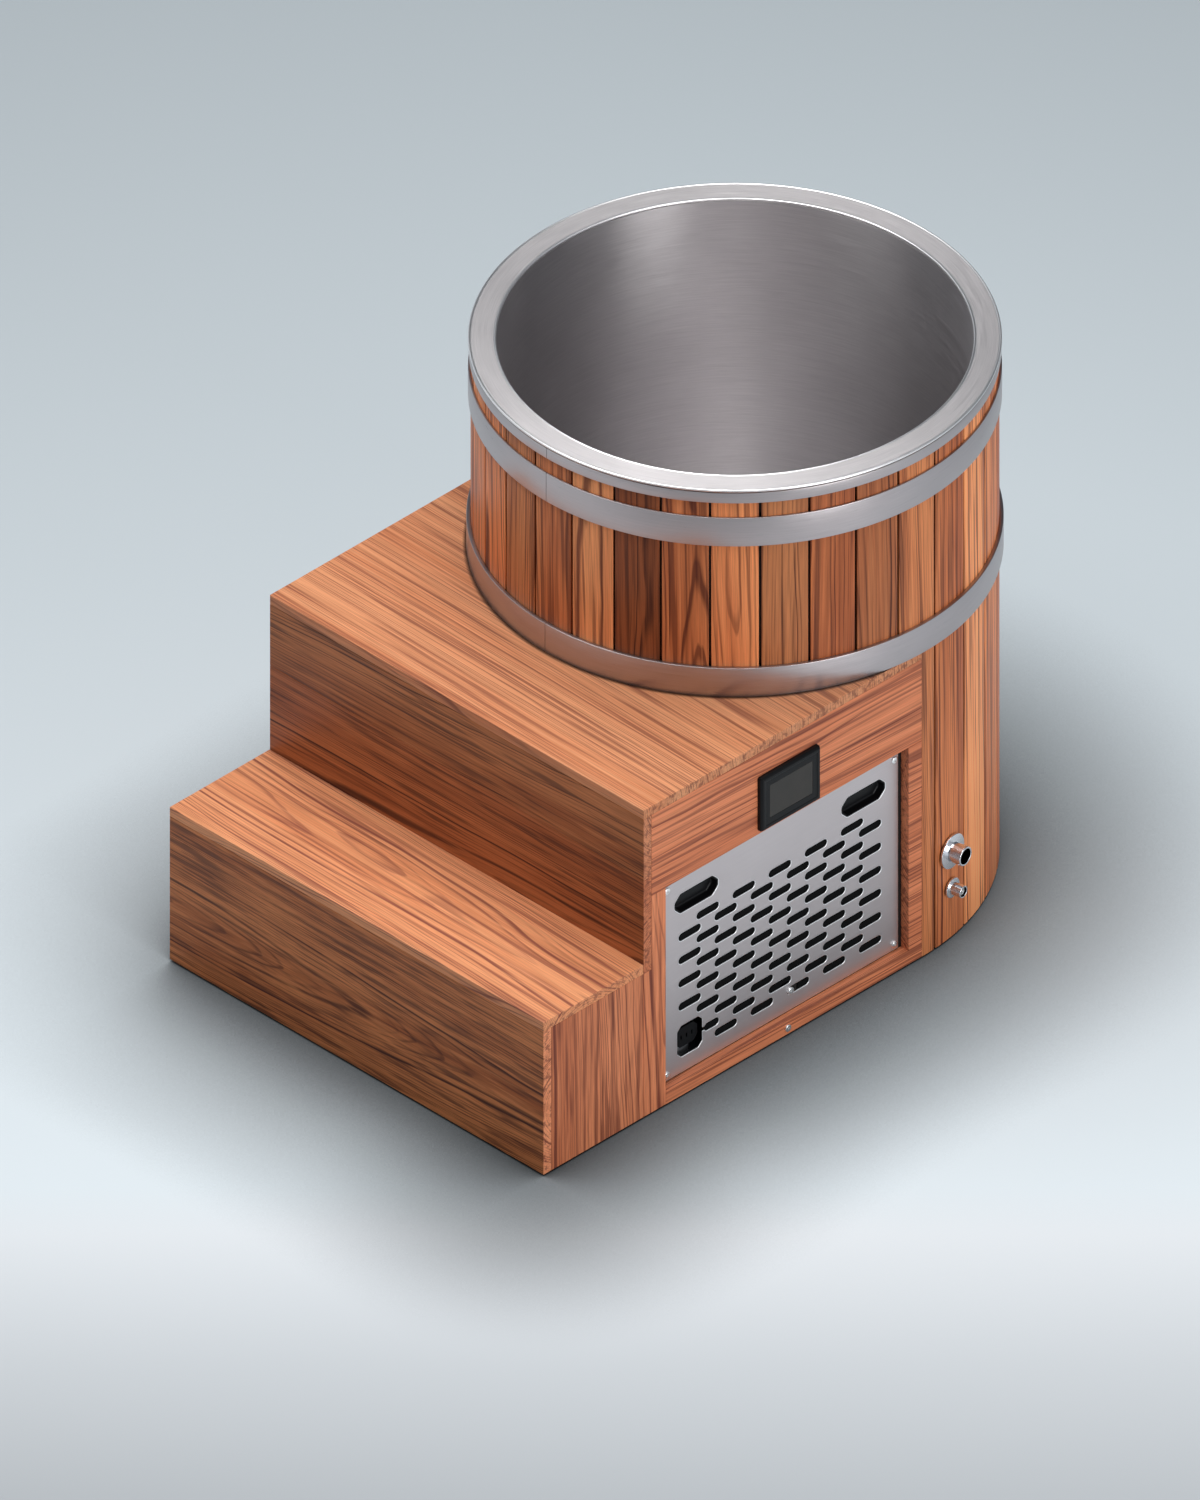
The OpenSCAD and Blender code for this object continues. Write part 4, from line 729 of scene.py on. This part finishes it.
def brushed(name, base, lines, rough, bump, anisotropic):
    """Stainless steel brushed round the barrel."""
    m, t, s = material(name)
    inputs = {"Place": here(t), "Lines": lines, "Rough": rough}
    made = wire(t, "ShaderNodeGroup", inputs, node_tree=BRUSHED).outputs
    feed(s, {"Base Color": scaled(colour(*base)[:3], made["Shade"]), "Roughness": made["Roughness"],
             "Metallic": 1.0, "Anisotropic": anisotropic, "Anisotropic Rotation": 0.25,
             "Tangent": wire(t, "ShaderNodeTangent", direction_type="RADIAL", axis="Z").outputs[0]})
    emboss(s, made["Height"], bump, 0.0002)
    return m


liner_steel = brushed("liner_steel", (216, 212, 213), 380.0, 0.37, 0.3, 0.9)
hoop_steel = brushed("hoop_steel", (184, 176, 177), 700.0, 0.33, 0.25, 0.5)

LINER_IN, LINER_OUT, LINER_TOP, LINER_T = 0.379, 0.381, 0.9953, 0.002
TUB_FLOOR, FLOOR_ROUND, FLOOR_RING, WALL_FROM = 0.070, 0.016, 0.18, 0.16
SUCTION_TURN, SUCTION_Z, RETURN_TURN, RETURN_Z = math.radians(-68), 0.130, math.atan2(-0.525, -0.110), 0.180
FITTING_R = 0.0213


def floor_corner(r, z):
    """The quarter round from the tub's floor, at a height, up into its wall, at a radius."""
    a = np.linspace(0, math.pi / 2, 9)
    return np.stack([r - FLOOR_ROUND * (1 - np.sin(a)), z + FLOOR_ROUND * (1 - np.cos(a))], 1)


up = np.linspace(WALL_FROM, LINER_TOP, 9)
section = np.concatenate([[(0.0, TUB_FLOOR + LINER_T), (FLOOR_RING, TUB_FLOOR + LINER_T)],
                          floor_corner(LINER_IN, TUB_FLOOR + LINER_T), np.stack([np.full(9, LINER_IN), up], 1),
                          np.stack([np.full(9, LINER_OUT), up[::-1]], 1),
                          floor_corner(LINER_OUT, TUB_FLOOR)[::-1], [(0.0, TUB_FLOOR)]])[::-1]
shell = turned(section)
for turn, z, r in ((port_turn, LARGE_Z, LARGE_R), (port_turn, SMALL_Z, SMALL_R),
                   (SUCTION_TURN, SUCTION_Z, FITTING_R), (RETURN_TURN, RETURN_Z, FITTING_R)):
    drill = prism(ring_of(r + HOLE_EASE), *LINER_DRILL)
    shell = cut(shell, laid(drill, (0, 0, z), (math.cos(turn), math.sin(turn), 0)))
piece("tub_liner", [shell], liner_steel)

# Rim. A flat stainless ring over the staves and the tub, rolled to a round bead along both edges, where it
# is rubbed smoother and painted brighter as a highlight.
BEAD_R, BEAD_Z, RIM_OUT, PLATE_LOW, PLATE_TOP = 0.0022, 0.9978, 0.4244, 0.996, 0.9992
RUB_FROM, RUB_FULL, RUB_SHINE = 0.0056, 0.0044, 0.14
rim_steel = brushed("rim_steel", (230, 225, 225), 700.0, 0.48, 0.25, 0.25)
tree, shader = insides(rim_steel)
middle, half = (LINER_IN + RIM_OUT) / 2, (RIM_OUT - LINER_IN) / 2
off = maths("ABSOLUTE", maths("SUBTRACT", radius(here(tree)), middle))
# The beads' lower roughness is real rubbing; their lighter base colour is a painted highlight.
rubbed_and_painted_highlight = mapped(off, half - RUB_FROM, half - RUB_FULL)
feed(shader, {"Base Color": blend_colour(rubbed_and_painted_highlight, source(shader, "Base Color"), colour(250, 248, 248)),
              "Roughness": maths("MULTIPLY_ADD", rubbed_and_painted_highlight, -RUB_SHINE, source(shader, "Roughness"))})


def bead(middle, facing):
    """Half of the rim's outline: an arc round a bead, from the plate's lower face round to its upper one."""
    low, top = math.asin((PLATE_LOW - BEAD_Z) / BEAD_R), math.asin((PLATE_TOP - BEAD_Z) / BEAD_R)
    turn = np.linspace(-math.pi - low, math.pi - top, 17)
    return np.stack([middle + facing * BEAD_R * np.cos(turn), BEAD_Z + BEAD_R * np.sin(turn)], 1)


section = np.concatenate([bead(RIM_OUT - BEAD_R, 1), bead(LINER_IN + BEAD_R, -1)[::-1]])
piece("rim_ring", [turned(section, 320)], rim_steel)

# Hoops. A thin steel band tucked under the rim, and two wide flat hoops drawn tight round the staves,
# each closed by a butt seam at the front. The lower hoop is thicker and rests on the deck.
HOOP_IN, SEAM = 0.4202, 0.0008
for name, z0, z1, t in (("top_band", 0.974, 0.994, 0.003), ("upper_hoop", 0.891, 0.946, 0.004),
                        ("lower_hoop", 0.6003, 0.6553, 0.0066)):
    section = rounded(rectangle(HOOP_IN, z0, HOOP_IN + t, z1), 0.0009)
    gap = SEAM / HOOP_IN / 2
    piece(name, [turned(section, 257, gap - math.pi / 2, 1.5 * math.pi - gap)], hoop_steel)


# Water ports. Two turned and polished stainless fittings with round flanges: the tub's outlet, and the
# smaller drain, closed by a plug with a hexagon socket. Their bores are painted dark as the shade inside
# them, and a rubber washer seals each flange.
def speckled(name, base, metallic, rough, spread, scale, bump, specular=0.5):
    """A cast, moulded or painted finish: noise over the object's own coordinates varies its roughness,
    its tone and its relief."""
    m, t, s = material(name)
    fine, broad = noise(here(t), scale, 3.0), noise(here(t), 14.0, 3.0)
    uneven = maths("SUBTRACT", maths("ADD", fine, broad), 1.0)
    shade = scaled(colour(*base)[:3], maths("MULTIPLY_ADD", broad, spread, 1.0 - spread / 2))
    feed(s, {"Base Color": shade, "Roughness": maths("MULTIPLY_ADD", uneven, spread, rough),
             "Metallic": metallic, "Specular IOR Level": specular})
    emboss(s, fine, bump, 0.0004)
    return m


polished_steel = speckled("polished_steel", (250, 250, 250), 1.0, 0.28, 0.12, 600.0, 0.05)
port_steel = speckled("port_steel", (240, 240, 244), 1.0, 0.20, 0.12, 600.0, 0.05)
black_rubber = speckled("black_rubber", (34, 34, 36), 0.0, 0.75, 0.2, 900.0, 0.4, 0.3)
PORTS = (("large_port", LARGE_Z, 0.0133, LARGE_R, 0.0305, 0.450),
         ("small_port", SMALL_Z, 0.0079, SMALL_R, 0.0175, 0.446))
PORT_START, FLANGE_BACK, FLANGE_FRONT, BORE_SHADE_PAST = 0.355, 0.422, 0.426, 0.0004
tree, shader = insides(port_steel)
aside = vectors("DOT_PRODUCT", here(tree), tuple(PORT_OUT.cross(Vector((0, 0, 1)))))
# Painted shade: the steel inside each bore is coloured near black, as the shade in it.
painted_bore_shade = 0.0
for name, z, bore, r, flange, end in PORTS:
    above = maths("SUBTRACT", part_of(here(tree), 2), z)
    off = vectors("LENGTH", wire(tree, "ShaderNodeCombineXYZ", {"X": aside, "Y": above}).outputs[0])
    painted_bore_shade = maths("MAXIMUM", painted_bore_shade, maths("LESS_THAN", off, bore + BORE_SHADE_PAST))
feed(shader, {"Base Color": blend_colour(painted_bore_shade, source(shader, "Base Color"), colour(22, 21, 21))})
for name, z, bore, r, flange, end in PORTS:
    section = [(bore, PORT_START), (r, PORT_START), (r, FLANGE_BACK), (flange, FLANGE_BACK),
               (flange, FLANGE_FRONT), (r, FLANGE_FRONT), (r, end), (bore, end)]
    easing = [0.0003, 0.0003, 0, 0.0005, 0.0012, 0.0008, 0.0012, 0.0012]
    piece(name, [laid(turned(rounded(section, easing), 96), (0, 0, z), PORT_OUT)], port_steel)


SOCKET_MOUTH, MOUTH_DEEP, DOME_SHARE, POINT_R, POINT_DEEP = 1.12, 0.0003, 0.45, 0.1, 1.05


def socket_rows(r, depth, rise, key, end, start):
    """A turned head with a hexagon socket: rings that go up the side, in over a domed top and down the
    socket, whose six sides are the key's radius over the cosine of the turn from each side's middle."""
    ring = ring_of(1.0)
    a = np.linspace(0, math.pi / 2, 5)
    turn = (np.arctan2(ring[:, 1], ring[:, 0]) % (math.pi / 3)) - math.pi / 6
    six = ring * (key * math.cos(math.pi / 6) / np.cos(turn))[:, None]
    heights = np.concatenate([[start, end - rise], end - rise + rise * np.sin(a[1:])])
    radii = np.concatenate([[r, r], r - (r - key) * DOME_SHARE * (1 - np.cos(a[1:]))])
    rows = [np.insert(ring * q, 2, h, 1) for q, h in zip(radii, heights)]
    rows += [np.insert(six * q, 2, h, 1) for q, h in (
        (SOCKET_MOUTH, end), (1.0, end - MOUTH_DEEP), (1.0, end - depth), (POINT_R, end - depth * POINT_DEEP))]
    return skin(np.stack(rows))


PLUG_R, PLUG_SOCKET, PLUG_DOME, PLUG_KEY, PLUG_START, PLUG_END = 0.00785, 0.005, 0.0008, 0.0035, 0.433, 0.443
plug = socket_rows(PLUG_R, PLUG_SOCKET, PLUG_DOME, PLUG_KEY, PLUG_END, PLUG_START)
piece("drain_plug", [laid(plug, (0, 0, SMALL_Z), PORT_OUT)], polished_steel, body="drain_plug")
finish_node("bulkhead_nuts", polished_steel)
finish_node("port_gaskets", black_rubber)


# Service panel. A stainless sheet, satin ground, punched with a staggered field of air slots and cut out
# for the pulls and the power inlet; its cut edges are coined round, smoother, and painted brighter as a
# highlight. It sits back in its opening, held by screws.
panel_steel, tree, shader = material("panel_steel")
grind, cloud = noise(here(tree), (60.0, 9.0, 900.0), 4.0, 0.7), noise(here(tree), 5.0, 3.0)
level = maths("MULTIPLY_ADD", grind, 0.5, maths("MULTIPLY", cloud, 0.5))
feed(shader, {"Base Color": ramp(level, [(0.3, (206, 198, 199)), (0.7, (218, 210, 211))]),
              "Roughness": maths("MULTIPLY_ADD", grind, 0.10, 0.42), "Metallic": 1.0})
emboss(shader, grind, 0.06, 0.0002)

PANEL_BACK, PANEL_FRONT, PANEL_Y0, PANEL_Y1, PANEL_Z0, PANEL_Z1 = 0.402, 0.4035, -0.568, -0.037, 0.032, 0.414
SLOT_L, SLOT_H, SLOT_Y, SLOT_Z, COLUMN, ROW = 0.050, 0.0145, -0.505, 0.070, 0.0405, 0.045
PUNCH_EASE, PUNCH_SPREAD, SHEET_CORNER, PULL_CORNER = 0.0006, 0.0014, 0.0015, 0.008
PULL_Y, PULL_Z, PULL_W, PULL_H, PULL_CUT = (-0.490, -0.115), 0.361, 0.098, 0.038, 0.013
INLET_Y, INLET_Z, INLET_W, INLET_H, INLET_CUT = -0.505, 0.0925, 0.056, 0.060, 0.009
NECK_L, NECK_FLARE, NECK_H = 0.005, 0.004, 0.0064


def cut_corners(y, z, w, h, c):
    """A rectangle about a middle with its four corners cut off at 45 degrees, counterclockwise."""
    u, v = w / 2, h / 2
    return np.array([(c - u, -v), (u - c, -v), (u, c - v), (u, v - c), (u - c, v), (c - u, v), (-u, v - c),
                     (-u, c - v)]) + (y, z)


def slot_at(y, z):
    """A slot with half-round ends about a middle, clockwise."""
    end = polar(SLOT_H / 2, np.linspace(math.pi / 2, -math.pi / 2, 11))
    half = (SLOT_L - SLOT_H) / 2
    return np.concatenate([end + (half, 0), -end - (half, 0)]) + (y, z)


def inlet_cut():
    """The power inlet's cut-out, whose right side opens by a thin neck into the slot beside it, clockwise."""
    u, v, c, half = INLET_W / 2, INLET_H / 2, INLET_CUT, SLOT_H / 2
    near, far, neck = u + NECK_L, u + NECK_L + NECK_FLARE, NECK_H / 2
    top = [(-u, c - v), (-u, v - c), (c - u, v), (u - c, v), (u, v - c), (u, neck), (near, neck), (far, half)]
    low = [(far, -half), (near, -neck), (u, -neck), (u, c - v), (u - c, -v), (c - u, -v)]
    tip = polar(half, np.linspace(math.pi / 2, -math.pi / 2, 11)) + (COLUMN + (SLOT_L - SLOT_H) / 2, 0)
    easing = np.concatenate([[0.004] * 4, [0.002, 0.0008, 0.0012, 0.0012], np.zeros(len(tip)),
                             [0.0012, 0.0012, 0.0008, 0.002], [0.004] * 2])
    return rounded(np.concatenate([top, tip, low]) + (INLET_Y, INLET_Z), easing)


holes = [slot_at(SLOT_Y + i * COLUMN, SLOT_Z + (j + (i % 2) / 2) * ROW) for i in range(11) for j in range(6)
         if j + 2 * min(i, 1) > 1 and (i, j) != (1, 0)]
holes += [rounded(cut_corners(y, PULL_Z, PULL_W, PULL_H, PULL_CUT), PULL_CORNER)[::-1] for y in PULL_Y]
holes.append(inlet_cut())
SCREW_SPOTS = [(y, z) for y in (-0.558, -0.047) for z in (0.044, 0.402)] + [(-0.280, 0.070)]
holes += [ring_of(SCREW_HOLE, 16)[::-1] + spot for spot in SCREW_SPOTS[:4]]
sheet = prism([rounded(rectangle(PANEL_Y0, PANEL_Z0, PANEL_Y1, PANEL_Z1), SHEET_CORNER)] + holes,
              PANEL_BACK, PANEL_FRONT, 0, ease=PUNCH_EASE, spread=PUNCH_SPREAD)
panel = piece("service_panel", [sheet], panel_steel, body="service_panel")

# Painted highlight: the rounded cut edges get a near-white steel, brighter than the sheet; their lower roughness is
# real.
cut_edge_highlight, tree, shader = material("cut_edge_highlight")
scratch = noise(here(tree), 700.0, 3.0)
feed(shader, {"Base Color": ramp(scratch, [(0.3, (244, 242, 243)), (0.7, (255, 254, 255))]),
              "Roughness": maths("MULTIPLY_ADD", scratch, 0.2, 0.3), "Metallic": 1.0})
panel.data.materials.append(cut_edge_highlight)
turned_in = np.zeros(len(panel.data.polygons), bool)
panel.data.polygons.foreach_get("use_smooth", turned_in)
panel.data.polygons.foreach_set("material_index", turned_in.astype(np.int32))

# Pulls. Two black moulded cups pushed in from behind, with eight-sided mouths that taper inwards.
PULL_DEEP, CUP_WALL, CUP_FLANGE, CUP_EASE = 0.012, 0.002, 0.005, 0.0005
LIP_SUNK, CUP_TAPER, CUP_ROUND, CUP_CORNER = 0.0003, 0.0045, 0.003, 0.003
black_plastic = speckled("black_plastic", (13, 13, 15), 0.0, 0.34, 0.14, 1400.0, 0.2, 0.2)


def cup(y):
    """A cup as nested eight-sided outlines: up its outside, out and in over the flange, round the lip, down
    the tapered mouth and round into its floor."""
    quarter = [(math.sin(t), math.cos(t)) for t in np.linspace(0, math.pi / 2, 4)]
    back, lip, floor_x = PANEL_BACK - CUP_WALL, PANEL_FRONT - LIP_SUNK, PANEL_FRONT - PULL_DEEP
    half = CUP_WALL / 2
    levels = [(CUP_EASE, floor_x - CUP_WALL), (CUP_EASE, back), (-CUP_FLANGE, back), (-CUP_FLANGE, PANEL_BACK),
              (CUP_EASE, PANEL_BACK)]
    levels += [(CUP_EASE + half * (1 - c), lip - half * (1 - s)) for s, c in quarter]
    levels += [(CUP_EASE + half * (1 + s), lip - half * (1 - c)) for s, c in quarter]
    levels += [(CUP_TAPER + CUP_ROUND * (1 - c), floor_x + CUP_ROUND * (1 - s)) for s, c in quarter]
    rows = []
    for d, x in levels:
        ring = cut_corners(y, PULL_Z, PULL_W - 2 * d, PULL_H - 2 * d, PULL_CUT - (2 - math.sqrt(2)) * d)
        rows.append(np.insert(rounded(ring, max(PULL_CORNER - d, CUP_CORNER)), 0, x, 1))
    return skin(np.stack(rows))


piece("pull_cups", [cup(y) for y in PULL_Y], black_plastic, body="service_panel")

# Screws. Stainless socket screws with low domed heads: four at the panel's corners, one in its slot
# field, and one in the bottom rail.
HEAD_R, HEAD_H, HEAD_DOME, KEY_R, KEY_DEEP, SHANK_R = 0.0065, 0.0035, 0.0014, 0.0022, 0.0022, 0.0025
PANEL_GRIP, RAIL_GRIP = 0.0075, 0.060


def screw(x, y, z, grip):
    """A domed socket head and its shank."""
    head = socket_rows(HEAD_R, KEY_DEEP, HEAD_DOME, KEY_R, x + HEAD_H, x)
    shank = prism(ring_of(SHANK_R, 16), x - grip, x + 0.0005, ease=0.0002)
    return [laid(s, (0, y, z), (1, 0, 0)) for s in (head, shank)]


piece("panel_screws", sum((screw(PANEL_FRONT, y, z, PANEL_GRIP) for y, z in SCREW_SPOTS), []),
      polished_steel, body="service_panel")
piece("rail_screw", screw(CASE_FACE, CONTROL_Y, RAIL_SCREW_Z, RAIL_GRIP), polished_steel)

# Controller. A black moulded bezel, bevelled towards the front, round a sunk pane of grey glass. It lies on
# the top rail; its body goes through the rail. The levels give how far in and how high each ring lies: up
# the side and its step, up the bevel, over the face and down the lip at the pane.
BEZEL_W, BEZEL_H, BEZEL_T, BEZEL_STEP, BEZEL_CORNER, BEVEL = 0.134, 0.104, 0.010, 0.006, 0.0035, 0.004
PANE_W, PANE_H, PANE_T, PANE_SUNK, PANE_GAP = 0.096, 0.063, 0.002, 0.001, 0.0003
outer = rounded(around(CONTROL_Y, CONTROL_Z, BEZEL_W, BEZEL_H), BEZEL_CORNER)
front, held = CASE_FACE + BEZEL_T, BEZEL_CORNER - 0.0001
levels = [(0.0, CASE_FACE), (0.0, CASE_FACE + BEZEL_STEP - 0.0005), (0.0002, CASE_FACE + BEZEL_STEP),
          (BEVEL - 0.0006, front - 0.0002), (BEVEL, front), (0.0088, front), (0.0092, front - 0.0002),
          (0.0096, front - 0.0008), (0.0104, front - 0.0009)]
rows = []
for d, x in levels:
    ring = inset(outer, min(d, held)) - np.sign(outer - (CONTROL_Y, CONTROL_Z)) * max(0.0, d - held)
    rows.append(np.insert(ring, 0, x, 1))
inner = rounded(around(CONTROL_Y, CONTROL_Z, PANE_W + 2 * PANE_GAP, PANE_H + 2 * PANE_GAP), 0.001)
rows += [np.insert(inner, 0, x, 1) for x in (front - 0.0009, front - PANE_SUNK - PANE_T)]
piece("controller_bezel", [skin(np.stack(rows))], black_plastic)

screen_glass, tree, shader = material("screen_glass")
smear = noise(here(tree), 30.0, 4.0)
feed(shader, {"Base Color": ramp(smear, [(0.3, (46, 43, 39)), (0.7, (52, 48, 44))]),
              "Roughness": maths("MULTIPLY_ADD", smear, 0.10, 0.10), "Specular IOR Level": 0.3})
pane = prism(rounded(around(CONTROL_Y, CONTROL_Z, PANE_W, PANE_H), 0.0008), front - PANE_SUNK - PANE_T,
             front - PANE_SUNK, 0, ease=0.0004)
piece("controller_screen", [pane], screen_glass)
finish_node("controller_body", black_plastic)

# Inside. What the panel, the deck and the tub hide keeps its CAD shape: pine battens and plywood, foam,
# the chiller on its grey tray, the water circuit in white pipe, copper lines and black cables; the cleats
# behind the panel are coloured near black as painted shade.
for paint, names in (
        (black_plastic, ("power_inlet",)), (black_rubber, ("feet", "compressor_mounts")),
        (polished_steel, ("pump_impeller",)),
        (speckled("fan_plastic", (46, 46, 50), 0.0, 0.45, 0.15, 500.0, 0.2), ("fan_rotor",)),
        (speckled("cable_sheath", (38, 38, 40), 0.0, 0.6, 0.15, 300.0, 0.2), ("wiring",)),
        (speckled("blue_plastic", (62, 104, 160), 0.0, 0.4, 0.15, 700.0, 0.2), ("filter_cap",)),
        (speckled("white_plastic", (232, 232, 230), 0.0, 0.35, 0.12, 500.0, 0.1),
         ("wall_fittings", "suction_strainer", "water_pipes", "filter_housing")),
        (speckled("grey_paint", (150, 154, 160), 0.0, 0.5, 0.15, 260.0, 0.35),
         ("control_box", "component_tray", "fan_shroud", "motor_bracket")),
        (speckled("black_paint", (52, 53, 56), 0.2, 0.42, 0.15, 200.0, 0.35),
         ("compressor", "fan_motor", "pump_motor", "pump_body", "heat_exchanger")),
        (speckled("foam", (236, 230, 208), 0.0, 0.9, 0.25, 260.0, 0.8, 0.1),
         ("insulation_jacket", "insulation_base")),
        (speckled("copper_tube", (204, 128, 88), 1.0, 0.34, 0.25, 90.0, 0.1), ("refrigerant_lines",)),
        # Painted shade: the pine cleats are coloured near black, as the shade seen through the slots and beside the
        # panel.
        (speckled("cleat_painted_shade", (24, 21, 19), 0.0, 0.7, 0.2, 300.0, 0.3, 0.3), ("panel_cleats",))):
    for name in names:
        finish_node(name, paint)


def striped(name, way, gap, dark, light, metallic, rough, bump):
    """Fins, pleats or plies as a sine along one or more directions, whose height also sets the colour."""
    m, t, s = material(name)
    height = None
    for axis in way:
        turn = maths("MULTIPLY", part_of(here(t), axis), 2 * math.pi / gap)
        wave = maths("MULTIPLY_ADD", maths("SINE", turn), 0.5, 0.5)
        height = wave if height is None else maths("MULTIPLY", height, wave)
    dirt = noise(here(t), 40.0, 4.0)
    level = maths("ADD", height, maths("MULTIPLY", dirt, 0.3))
    feed(s, {"Base Color": ramp(level, [(0.1, dark), (0.9, light)]), "Metallic": metallic,
             "Roughness": maths("MULTIPLY_ADD", dirt, 0.2, rough), "Specular IOR Level": 0.15})
    emboss(s, height, bump, gap / 3)
    return m


for node, name, way, gap, dark, light, metallic, rough, bump in (
        ("condenser_coil", "coil_fins", (1,), 0.0026, (120, 124, 128), (196, 200, 204), 1.0, 0.4, 0.5),
        # The dust filter is black, and darkened further as painted shade behind the slots.
        ("dust_filter", "filter_weave_in_shade", (1, 2), 0.0022, (3, 3, 3), (13, 13, 14), 0.0, 0.8, 0.6),
        ("filter_cartridge", "pleated_media", (2,), 0.004, (190, 196, 204), (232, 236, 240), 0.0, 0.8, 0.5)):
    finish_node(node, striped(name, way, gap, dark, light, metallic, rough, bump))

pine, tree, shader = material("pine")
figure = noise(here(tree), (60.0, 60.0, 160.0), 4.0)
feed(shader, {"Base Color": ramp(figure, [(0.3, (196, 162, 118)), (0.7, (226, 196, 152))]),
              "Roughness": maths("MULTIPLY_ADD", figure, 0.2, 0.55)})
emboss(shader, figure, 0.2, 0.0005)
for name in ("frame_battens", "base_panel"):
    finish_node(name, pine)

low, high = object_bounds()
